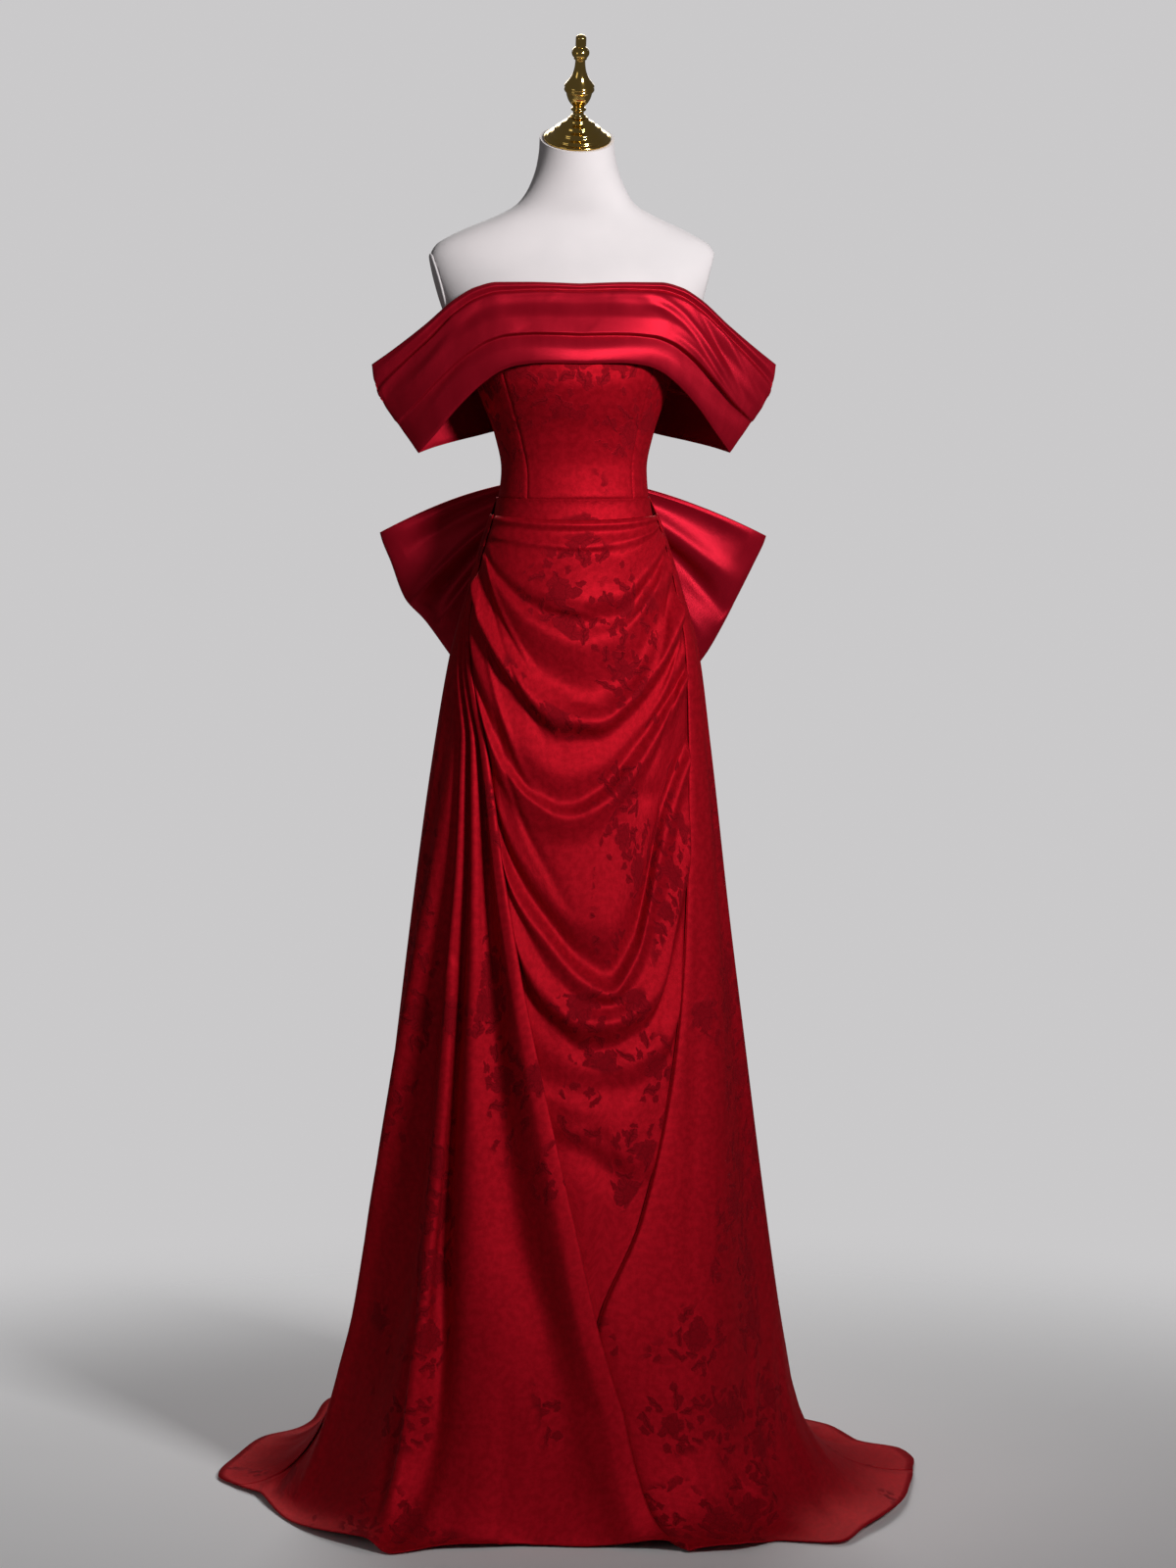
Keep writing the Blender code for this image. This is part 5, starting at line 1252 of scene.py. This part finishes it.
# %% Swags
Swag = namedtuple("Swag", "name left l85 l60 l30 middle r30 r60 r85 right"
                          " rise_left rise_mid rise_right cells")
COLUMN_PLACES = (-1.0, -0.85, -0.60, -0.30, 0.0, 0.30, 0.60, 0.85, 1.0)
SWAGS = (
    Swag("top", 1.296, 1.295, 1.294, 1.292, 1.291, 1.292, 1.294, 1.295, 1.296, 0.5, 0.5, 0.5, 5),
    Swag("roll", 1.291, 1.290, 1.288, 1.285, 1.284, 1.285, 1.288, 1.290, 1.291, 4, 4.5, 4, 5),
    Swag("roll_foot", 1.284, 1.283, 1.280, 1.276, 1.275, 1.276, 1.281, 1.286, 1.287, 0.5, 0.5, 0.5, 6),
    Swag("pinch", 1.272, 1.270, 1.267, 1.260, 1.256, 1.261, 1.272, 1.281, 1.285, 2.5, 5.5, 4, 6),
    Swag("pinch_foot", 1.268, 1.264, 1.258, 1.250, 1.248, 1.247, 1.261, 1.275, 1.281, 1.5, 2, 0.5, 12),
    Swag("first", 1.262, 1.256, 1.229, 1.200, 1.188, 1.198, 1.237, 1.263, 1.274, 5.5, 15, 12, 8),
    Swag("first_foot", 1.256, 1.243, 1.213, 1.179, 1.161, 1.169, 1.213, 1.245, 1.260, 2.5, 4, 1.5, 10),
    Swag("second", 1.250, 1.235, 1.200, 1.154, 1.132, 1.147, 1.190, 1.217, 1.227, 11, 12, 9.5, 8),
    Swag("second_foot", 1.238, 1.214, 1.161, 1.097, 1.073, 1.092, 1.148, 1.191, 1.211, 2, 1.5, 1.5, 10),
    Swag("third", 1.225, 1.192, 1.107, 1.039, 1.032, 1.062, 1.110, 1.161, 1.190, 16, 20, 16, 8),
    Swag("third_foot", 1.208, 1.163, 1.069, 1.009, 1.010, 1.038, 1.084, 1.133, 1.166, 2.5, 2.5, 4, 8),
    Swag("soft", 1.180, 1.089, 0.995, 0.966, 0.977, 1.016, 1.066, 1.113, 1.134, 9.5, 7, 8, 8),
    Swag("soft_foot", 1.150, 1.022, 0.951, 0.931, 0.950, 0.996, 1.046, 1.088, 1.112, 4, 2, 4, 8),
    Swag("fourth", 1.105, 0.985, 0.933, 0.910, 0.926, 0.969, 1.032, 1.080, 1.098, 13.5, 17.5, 15, 8),
    Swag("fourth_foot", 1.021, 0.943, 0.889, 0.874, 0.890, 0.935, 0.998, 1.052, 1.077, 8, 9.5, 7, 10),
    Swag("panel", 0.977, 0.894, 0.824, 0.779, 0.776, 0.833, 0.938, 1.011, 1.044, 12, 13.5, 5.5, 8),
    Swag("deep", 0.946, 0.851, 0.786, 0.735, 0.714, 0.763, 0.918, 0.988, 1.017, -2.5, 0, 1.5, 8),
    Swag("fifth", 0.913, 0.811, 0.751, 0.702, 0.685, 0.728, 0.880, 0.965, 0.995, 15, 17.5, 12, 8),
    Swag("fifth_foot", 0.875, 0.787, 0.715, 0.674, 0.670, 0.695, 0.782, 0.930, 0.955, 8, 9.5, 7, 8),
    Swag("sixth", 0.838, 0.720, 0.671, 0.646, 0.647, 0.660, 0.695, 0.830, 0.886, 16, 21.5, 15, 8),
    Swag("sixth_foot", 0.798, 0.677, 0.637, 0.615, 0.617, 0.629, 0.657, 0.745, 0.820, -1.5, -1.5, 0, 8),
    Swag("seventh", 0.667, 0.623, 0.600, 0.590, 0.591, 0.595, 0.611, 0.636, 0.723, 1.5, 4, 9.5, 7),
    Swag("seventh_foot", 0.623, 0.579, 0.570, 0.562, 0.563, 0.564, 0.577, 0.601, 0.680, 0, 0, 1.5, 8),
    Swag("slack", 0.569, 0.554, 0.540, 0.533, 0.533, 0.533, 0.543, 0.564, 0.579, 4, 5.5, 2.5, 7),
    Swag("eighth", 0.532, 0.524, 0.516, 0.508, 0.495, 0.484, 0.477, 0.478, 0.478, 2.5, 7, 4, 8),
    Swag("eighth_foot", 0.496, 0.494, 0.490, 0.479, 0.463, 0.451, 0.442, 0.440, 0.439, -2.5, -4, 0, 8),
    Swag("tail", 0.438, 0.436, 0.433, 0.427, 0.419, 0.412, 0.407, 0.404, 0.402, 1.5, 1.5, 0, 12),
    Swag("wedge_end", 0.262, 0.262, 0.262, 0.262, 0.262, 0.262, 0.262, 0.262, 0.262, 0, 0, 0, 0),
)
swag = {name: numbered(SWAGS, name) for name in Swag._fields[1:-1]}
height_by_column = [swag[name] for name in Swag._fields[1:10]]
column_number = Curve(COLUMN_PLACES, range(len(COLUMN_PLACES)))
print(len(SWAGS), "swag lines")

# %% [markdown]
# ## The draped panel's surface
# The panel fills the room between the overlap and the right front, and runs on a little way under
# both. A swag stands out less where its lines run together, and dies away at the sides, where the
# cloth is held.

# %% Drape surface
TUCK = 0.10                 # share of the half width over which a swag's rise dies at the sides
RISE_SIDES = 0.7            # share of the half width at which the side rises are reached
NARROWING = 0.7             # power by which a swag sinks as its two lines run together
UNDERLAP = 1.6              # degrees by which the panel runs on under its neighbours
UNDER = 1.0                 # mm by which it lies lower there


def drape_height(across, tier):
    return across_lines(height_by_column, column_number(across), tier)


def drape_spacing(across, tier):
    return drape_height(across, tier - 0.5) - drape_height(across, tier + 0.5)


def drape_surface(across, tier):
    """The draped panel between the overlap and the right front; across runs from -1 to 1."""
    height = drape_height(across, tier)
    first = angle_by_line[LINE["overlap_foot"]](height) - UNDERLAP
    last = angle_by_line[LINE["right_foot"]](height) + UNDERLAP
    angle = (first + last) * 0.5 + (last - first) * 0.5 * across
    left_share = np.clip(-across / RISE_SIDES, 0, 1)
    right_share = np.clip(across / RISE_SIDES, 0, 1)
    rise = (swag["rise_mid"](tier) * (1 - left_share - right_share)
            + swag["rise_left"](tier) * left_share + swag["rise_right"](tier) * right_share)
    spacing = drape_spacing(across, tier) / drape_spacing(across * 0, tier)
    fade = np.clip((1 - np.abs(across)) / TUCK, 0, 1)
    share = np.clip(spacing, 0, 1) ** NARROWING * fade * fade * (3 - 2 * fade)
    return folded(angle, height, (rise + UNDER) * share - UNDER)


across, tier = np.meshgrid(np.linspace(-1, 1, 161), ladder(SWAGS, 0, len(SWAGS) - 1))
drape_points = drape_surface(across, tier)
print("draped panel ends", round(float(drape_points[..., 2].min()), 3), "m above the floor")

# %% [markdown]
# ## Laying the drape and the yoke
# Between the swags, short creases fan out from the two hips, as heavy satin does where it is held.
# The beds gather the flowers on the swags' crests, where most of the pattern shows. The yoke is
# a strip of the same surface as the bodice, pressed in at the waist seam.

# %% Drape and yoke
DRAPE_BEDS = (
    Bed(0.50, 0.17, 0.16, 0.05), Bed(0.64, 0.28, 0.15, 0.04), Bed(0.36, 0.33, 0.12, 0.03),
    Bed(0.62, 0.44, 0.16, 0.03), Bed(0.57, 0.54, 0.13, 0.035), Bed(0.82, 0.61, 0.09, 0.07),
    Bed(0.48, 0.72, 0.24, 0.05), Bed(0.30, 0.84, 0.14, 0.05), Bed(0.70, 0.88, 0.16, 0.05),
)
DRAPE_CREASES = (
    Crease(0.04, 0.20, 0.34, 0.29, 10, 5, 2.6),
    Crease(0.05, 0.24, 0.30, 0.37, 12, 6, -2.4),
    Crease(0.06, 0.30, 0.28, 0.46, 14, 7, 2.6),
    Crease(0.10, 0.40, 0.36, 0.55, 12, 8, -2.4),
    Crease(0.96, 0.16, 0.66, 0.24, -9, 5, 2.6),
    Crease(0.96, 0.25, 0.70, 0.33, -10, 6, -2.6),
    Crease(0.95, 0.32, 0.68, 0.41, -12, 6, 2.4),
    Crease(0.92, 0.44, 0.70, 0.50, -9, 7, -2.4),
    Crease(0.36, 0.19, 0.62, 0.205, -6, 5, 2.0),
    Crease(0.40, 0.30, 0.58, 0.315, -5, 6, -1.8),
    Crease(0.62, 0.50, 0.80, 0.58, -12, 14, -3.0),
    Crease(0.20, 0.66, 0.44, 0.71, -6, 8, 2.2),
    Crease(0.56, 0.76, 0.86, 0.70, -8, 8, 2.4),
    Crease(0.30, 0.87, 0.62, 0.90, -5, 10, -2.6),
)
drape = lay("draped_front", creased(drape_points, DRAPE_CREASES, -1), flowered_jacquard,
            -1, "skirt_drape", beds=DRAPE_BEDS)

YOKE_SIDE = 93.5            # degrees from the centre front to the yoke's ends
angle, height = np.meshgrid(edged(np.linspace(-YOKE_SIDE, YOKE_SIDE, 129)),
                            edged(np.linspace(YOKE_FOOT, WAIST, 17))[::-1])
yoke = lay("waist_yoke", pressed(shell(angle, height), ("top",), 1), flowered_jacquard,
           1, "hip_yoke", ("top",))

# %% [markdown]
# ## Shoulder band
# The off-shoulder band is a wide strip of plain satin folded into three soft pleats. Its front and
# back meet at the sleeve ends. Its rows run from the rolled top lip down over the pleats, and each
# row's share of the width and rise changes towards the sleeves, where the pleats flatten.

# %% Band tables
BandRow = namedtuple("BandRow", "out front_top front_low back_top back_low")
BAND_EDGES = (
    BandRow(0.00, 1.594, 1.491, 1.572, 1.412),
    BandRow(0.25, 1.596, 1.492, 1.575, 1.410),
    BandRow(0.40, 1.596, 1.489, 1.576, 1.407),
    BandRow(0.50, 1.590, 1.482, 1.572, 1.403),
    BandRow(0.60, 1.575, 1.468, 1.561, 1.398),
    BandRow(0.75, 1.541, 1.438, 1.534, 1.391),
    BandRow(0.90, 1.510, 1.400, 1.508, 1.383),
    BandRow(1.00, 1.491, 1.376, 1.491, 1.376),
)
Pleat = namedtuple("Pleat", "name left left_mid middle right_mid right"
                            " rise_left rise_left_mid rise_middle rise_right_mid rise_right cells")
PLEATS = (
    Pleat("top_edge", 0, 0, 0, 0, 0, 0.2, 0.3, 0.3, 0.3, 0.2, 6),
    Pleat("lip", 0.15, 0.07, 0.045, 0.06, 0.12, 1.2, 4.0, 3.0, 4.0, 1.0, 7),
    Pleat("groove", 0.27, 0.155, 0.085, 0.12, 0.24, -1.0, -1.5, 0.2, -0.5, -0.6, 6),
    Pleat("shoulder", 0.34, 0.21, 0.135, 0.19, 0.31, 0.8, 4.5, 4.5, 5.5, 0.8, 10),
    Pleat("hollow", 0.40, 0.33, 0.26, 0.34, 0.40, -0.6, 1.8, 5.0, 4.0, -0.4, 10),
    Pleat("belly", 0.50, 0.47, 0.46, 0.50, 0.50, 0.6, 5.0, 8.5, 9.0, 1.2, 10),
    Pleat("main_edge", 0.64, 0.63, 0.645, 0.66, 0.62, 0.6, 6.0, 8.5, 9.5, 1.6, 7),
    Pleat("main_foot", 0.68, 0.66, 0.665, 0.685, 0.66, 0.2, 1.6, 1.6, 1.8, 0.3, 9),
    Pleat("low_belly", 0.80, 0.80, 0.84, 0.83, 0.80, 0.6, 4.0, 4.2, 5.0, 1.0, 8),
    Pleat("low_edge", 0.96, 0.965, 0.97, 0.965, 0.96, 0.3, 2.6, 3.0, 3.0, 0.4, 5),
    Pleat("bottom", 1.0, 1.0, 1.0, 1.0, 1.0, 0.0, 0.4, 0.5, 0.4, 0.0, 0),
)
PLEAT_PLACES = (-90.0, -44.0, 0.0, 44.0, 90.0)
PlanRow = namedtuple("PlanRow", "down end front back")
BAND_PLAN = (
    PlanRow(0.0, 0.264, 0.0790, 0.0939),
    PlanRow(0.3, 0.257, 0.0915, 0.0960),
    PlanRow(0.62, 0.234, 0.1050, 0.0965),
    PlanRow(0.85, 0.215, 0.1140, 0.0945),
    PlanRow(1.0, 0.204, 0.1174, 0.0925),
)
band_edges = columns(BAND_EDGES, "out")
band_plan = columns(BAND_PLAN, "down")
pleat = {name: numbered(PLEATS, name) for name in Pleat._fields[1:-1]}
pleat_places = [pleat[name] for name in Pleat._fields[1:6]]
pleat_rises = [pleat[name] for name in Pleat._fields[6:11]]
place_number = Curve(PLEAT_PLACES, range(len(PLEAT_PLACES)))
print(len(PLEATS), "pleat lines, sleeve ends", 2 * BAND_PLAN[0].end, "m apart")

# %% [markdown]
# ## Laying the band
# Seen from above, each half of the band is a flattened arc from one sleeve end to the other, and the
# two halves meet there in a fold. Creases run from the pleats towards the sleeves, as the pull on
# the shoulders draws them.

# %% Band
BAND_CREASES = {"front": (
    Crease(0.28, 0.20, 0.06, 0.36, 4, 9, -3.2),
    Crease(0.33, 0.30, 0.10, 0.52, -5, 10, 2.0),
    Crease(0.36, 0.22, 0.39, 0.60, 3, 14, 1.6),
    Crease(0.30, 0.62, 0.10, 0.80, 3, 8, -1.6),
    Crease(0.55, 0.25, 0.66, 0.52, -6, 13, 1.5),
    Crease(0.60, 0.22, 0.86, 0.62, 5, 7, 3.0),
    Crease(0.61, 0.36, 0.87, 0.66, 3, 6, -2.6),
    Crease(0.69, 0.20, 0.90, 0.55, 4, 7, -2.8),
    Crease(0.74, 0.18, 0.93, 0.48, 2, 7, 2.2),
    Crease(0.66, 0.56, 0.89, 0.70, -3, 5, 2.2),
    Crease(0.70, 0.82, 0.92, 0.76, 4, 8, -1.8),
    Crease(0.46, 0.30, 0.52, 0.58, 2, 16, -1.0),
), "back": (
    Crease(0.30, 0.20, 0.07, 0.42, 4, 10, -3.0),
    Crease(0.34, 0.34, 0.11, 0.60, -4, 10, 2.2),
    Crease(0.42, 0.20, 0.45, 0.62, 5, 15, 1.6),
    Crease(0.57, 0.28, 0.62, 0.66, -4, 14, -1.6),
    Crease(0.64, 0.22, 0.90, 0.50, 6, 8, 2.6),
    Crease(0.68, 0.40, 0.93, 0.66, 3, 7, -2.6),
)}
BAND_FOLD, BAND_BULGE, BAND_MIDDLE = 0.008, 2.2, -0.002
RISE_SHARE = {"front": 1.0, "back": 0.8}     # the back's pleats are flatter


def band_surface(side):
    """One half of the shoulder band: across in degrees from sleeve end to sleeve end."""
    sign = -1 if side == "front" else 1

    def base(across, down):
        turn = np.radians(across)
        out = np.abs(np.sin(turn))
        ahead = np.cos(turn)
        top, low = band_edges[side + "_top"](out), band_edges[side + "_low"](out)
        depth = band_plan[side](down) - BAND_FOLD
        x = BAND_MIDDLE + band_plan["end"](down) * np.sin(turn)
        y = sign * (depth * (1 - out ** BAND_BULGE) * np.sign(ahead) + BAND_FOLD * ahead)
        return np.stack([x, y, top + (low - top) * down], -1)

    def surface(across, row):
        number = place_number(across if side == "front" else -across)
        down = across_lines(pleat_places, number, row)
        rise = across_lines(pleat_rises, number, row) * RISE_SHARE[side]
        facing = normals(base, across, down, 0.5, 0.01) * sign
        return base(across, down) + facing * (rise * MM)[..., None]
    return surface


def band(side, outward):
    across, row = np.meshgrid(np.linspace(-90, 90, 221), ladder(PLEATS, 0, len(PLEATS) - 1))
    points = creased(band_surface(side)(across, row), BAND_CREASES[side], outward)
    return lay("shoulder_band_" + side, points, plain_satin, outward, "band_" + side)


band_front = band("front", -1)
band_back = band("back", 1)

# %% [markdown]
# ## Bow
# The bow at the back waist is two open loops of plain satin drawn in by a knot. Each loop is
# a ribbon that goes out on the front layer, round the end fold and back. One table gives the wings'
# outline from their top to their bottom edge, and one the loop's path as seen from above.

# %% Bow tables
WingRow = namedtuple("WingRow", "across root_z left_x left_z right_x right_z ridge")
WING = (
    WingRow(0.00, 1.345, -0.250, 1.268, 0.271, 1.262, 0.0),
    WingRow(0.07, 1.341, -0.247, 1.257, 0.268, 1.253, 4.0),
    WingRow(0.20, 1.334, -0.236, 1.230, 0.255, 1.226, -1.0),
    WingRow(0.45, 1.319, -0.217, 1.180, 0.232, 1.180, 5.0),
    WingRow(0.62, 1.308, -0.190, 1.150, 0.213, 1.143, -1.0),
    WingRow(0.80, 1.297, -0.166, 1.117, 0.191, 1.105, 4.0),
    WingRow(1.00, 1.286, -0.143, 1.084, 0.164, 1.070, 0.0),
)
LoopRow = namedtuple("LoopRow", "step out half_open back")
LOOP = (
    LoopRow(0.0, 0.00, -0.0040, 0.000), LoopRow(1.0, 0.18, -0.0095, 0.016),
    LoopRow(2.0, 0.55, -0.0180, 0.042), LoopRow(3.0, 0.88, -0.0140, 0.054),
    LoopRow(4.0, 1.00, 0.0000, 0.058), LoopRow(5.0, 0.88, 0.0140, 0.054),
    LoopRow(6.0, 0.55, 0.0180, 0.042), LoopRow(7.0, 0.18, 0.0095, 0.016),
    LoopRow(8.0, 0.00, 0.0040, 0.000),
)
BOW_MIDDLE, BOW_DEPTH, BOW_HEIGHT = -0.001, 0.1052, 1.3150
KNOT_HALF = (0.0200, 0.0205, 0.0360)
wing = columns(WING, "across")
loop = columns(LOOP, "step")
print("bow", round(WING[0].right_x - WING[0].left_x, 3), "m wide")

# %% [markdown]
# ## Laying the loops
# The ribbon is laid over its path, and arches a little between the knot and the end fold. Creases
# fan out from the knot, deep ones on the front layer, where the gathers show, and softer ones on the
# back layer.

# %% Bow loops
ROOT_GAP = 0.0005           # from the knot's side to a loop's root
ARCH = 0.012                # how far a loop's middle rises above a straight line to its end
FULL_OPEN = 0.014           # half opening from which the ridges have their whole height


def wing_surface(side):
    """One loop of the bow: along its path, and across the ribbon from top to bottom."""
    def surface(step, across):
        out, half, back = loop["out"](step), loop["half_open"](step), loop["back"](step)
        root_x = BOW_MIDDLE + (KNOT_HALF[0] + ROOT_GAP) * (-1 if side == "left" else 1)
        end_x, end_z = wing[side + "_x"](across), wing[side + "_z"](across)
        x = root_x + (end_x - root_x) * out
        z = wing["root_z"](across) + (end_z - wing["root_z"](across)) * out
        arch = ARCH * np.sin(np.pi * out)
        ridge = wing["ridge"](across) * MM * np.sin(np.pi * np.clip(out, 0, 1)) * np.sign(half)
        y = BOW_DEPTH + back + half + ridge * np.minimum(np.abs(half) / FULL_OPEN, 1)
        return np.stack([x, y, z + arch], -1)
    return surface


INNER_CREASES = (
    Crease(0.98, 0.34, 0.60, 0.14, 5, 12, -4.0),
    Crease(0.98, 0.46, 0.56, 0.42, -3, 15, 5.0),
    Crease(0.98, 0.56, 0.58, 0.66, 4, 13, -4.5),
    Crease(0.98, 0.66, 0.62, 0.90, -4, 14, 4.0),
)
WING_CREASES = {
    "left": (
        Crease(0.02, 0.26, 0.40, 0.20, -5, 12, -4.5),
        Crease(0.48, 0.50, 0.08, 0.40, 2, 6, 5.0),
        Crease(0.42, 0.59, 0.06, 0.52, -3, 11, -9.0),
        Crease(0.44, 0.70, 0.14, 0.64, 2, 6, 4.5),
        Crease(0.40, 0.83, 0.06, 0.78, -3, 10, -4.5),
    ),
    "right": (
        Crease(0.02, 0.22, 0.40, 0.12, -4, 14, -4.5),
        Crease(0.02, 0.36, 0.46, 0.38, 3, 14, 4.5),
        Crease(0.02, 0.54, 0.47, 0.58, -3, 15, -14.0),
        Crease(0.08, 0.70, 0.44, 0.76, 3, 9, 3.0),
        Crease(0.02, 0.82, 0.40, 0.90, -3, 12, -5.0),
    ),
}
wings = {}
for side, outward in (("left", 1), ("right", -1)):
    step, down = np.meshgrid(np.linspace(0, 8, 151), np.linspace(0, 1, 81))
    points = creased(wing_surface(side)(step, down), WING_CREASES[side] + INNER_CREASES, outward)
    wings[side] = lay("bow_wing_" + side, points, plain_satin, outward,
                      "bow_loop_" + side)

# %% [markdown]
# ## The knot
# The knot is a short strip wrapped round the middle. A sphere pressed towards a box has the right
# fullness, and three shallow dips on its outer side are the strip's own folds. Its UV map lies flat
# on that side, so that the threads run down it.

# %% Knot
KNOT_ROUND = 0.55           # 1 would leave the sphere, a smaller power presses it towards a box
KNOT_DIPS, KNOT_DIP = 3, 0.10       # the strip's folds, and their share of the knot's depth


def knot():
    """A rounded box over the gathers, dipped on its outer side."""
    bm = bmesh.new()
    bmesh.ops.create_uvsphere(bm, u_segments=72, v_segments=48, radius=1.0)
    middle = Vector((BOW_MIDDLE, BOW_DEPTH, BOW_HEIGHT))
    for vert in bm.verts:
        x, y, z = vert.co
        flat = [math.copysign(abs(value) ** KNOT_ROUND, value) for value in (x, y, z)]
        wrap = 1 - KNOT_DIP * math.cos(KNOT_DIPS * math.pi * flat[0] / 2) ** 2 * max(y, 0)
        vert.co = middle + Vector((flat[0] * KNOT_HALF[0], flat[1] * KNOT_HALF[1] * wrap,
                                   flat[2] * KNOT_HALF[2]))
    piece = finish_piece("knot_wrap", bm, plain_satin, "bow_knot")
    layer = piece.data.uv_layers.new(name="Cloth")
    for corner, spot in zip(piece.data.loops, layer.data):
        place = piece.data.vertices[corner.vertex_index].co - middle
        spot.uv = (place.x, place.z)
    print("knot", len(piece.data.polygons), "faces")
    return piece


bow_knot = knot()

# %% [markdown]
# ## The cut of each piece
# A sheet of cloth keeps its area however it hangs. For every piece we state the rectangle that it
# was cut from, the area of its outline where that isn't a rectangle, how it is held and what it
# rests on. Pleated and gathered pieces are cut larger than they look, because the folds take up
# cloth.

# %% Cuts
def sheet_area(piece):
    """Area of the laid sheet, before its thickness is added."""
    return sum(face.area for face in piece.data.polygons)


Cut = namedtuple("Cut", "piece width length area held rests_on")
CUTS = (
    Cut(bodice_centre, 0.240, 0.220, 0.040, "stretched", ("form_torso",)),
    Cut(bodice_left, 0.105, 0.210, 0.0170, "stretched", ("form_torso",)),
    Cut(bodice_right, 0.100, 0.210, 0.0160, "stretched", ("form_torso",)),
    Cut(bodice_back_l, 0.195, 0.205, 0.030, "stretched", ("form_torso",)),
    Cut(bodice_back_r, 0.195, 0.205, 0.030, "stretched", ("form_torso",)),
    Cut(yoke, 0.330, 0.060, 0.0180, "stretched", ("form_torso",)),
    Cut(drape, 0.700, 1.180, 0.330, "draped", ("hip_yoke",)),
    Cut(front_left, 0.860, 1.450, 0.500, "hung", ("hip_yoke",)),
    Cut(front_right, 0.660, 1.470, 0.360, "hung", ("hip_yoke",)),
    Cut(back_left, 0.920, 1.560, 0.640, "gathered", ("bodice_back_left",)),
    Cut(back_right, 0.920, 1.560, 0.640, "gathered", ("bodice_back_right",)),
    Cut(band_front, 0.680, 0.200, 0.095, "folded", ("form_torso",)),
    Cut(band_back, 0.660, 0.230, 0.110, "folded", ("form_torso",)),
    Cut(wings["left"], 0.540, 0.270, 0.078, "folded", ("bow_knot",)),
    Cut(wings["right"], 0.580, 0.270, 0.086, "folded", ("bow_knot",)),
    Cut(bow_knot, 0.110, 0.055, 0.0060, "folded", ("bodice_back_left",)),
)
for cut in CUTS:
    share = sheet_area(cut.piece) / cut.area
    print(cut.piece.name, "hangs with", round(share, 2), "of its cut")

# %% [markdown]
# ## Floor
# A plain pale floor catches the gown's shadow, and fades out into the backdrop away from it.

# %% Floor
FADE_FROM, FADE_TO = 0.75, 1.9      # metres from the gown at which the floor fades out


def floor_finish():
    paint = Recipe("pale_floor", Roughness=0.8)
    place = paint.add("TexCoord").outputs["Object"]
    patch = paint.noise(place, 1.5)
    away = paint.add("VectorMath", {"Vector": place}, operation="LENGTH").outputs["Value"]
    paint.coat(Base_Color=paint.blend(patch, (0.86, 0.855, 0.86, 1), (0.90, 0.895, 0.90, 1)),
               Alpha=paint.ramp(away, FADE_FROM, FADE_TO, 1.0, 0.0))
    return paint.material


bm = bmesh.new()
bmesh.ops.create_grid(bm, x_segments=4, y_segments=4, size=3.5)
floor_mesh = bpy.data.meshes.new("floor")
bm.to_mesh(floor_mesh)
bm.free()
floor_mesh.materials.append(floor_finish())
floor = bpy.data.objects.new("floor", floor_mesh)
bpy.context.scene.collection.objects.link(floor)
print("floor fades out from", FADE_FROM, "to", FADE_TO, "m")
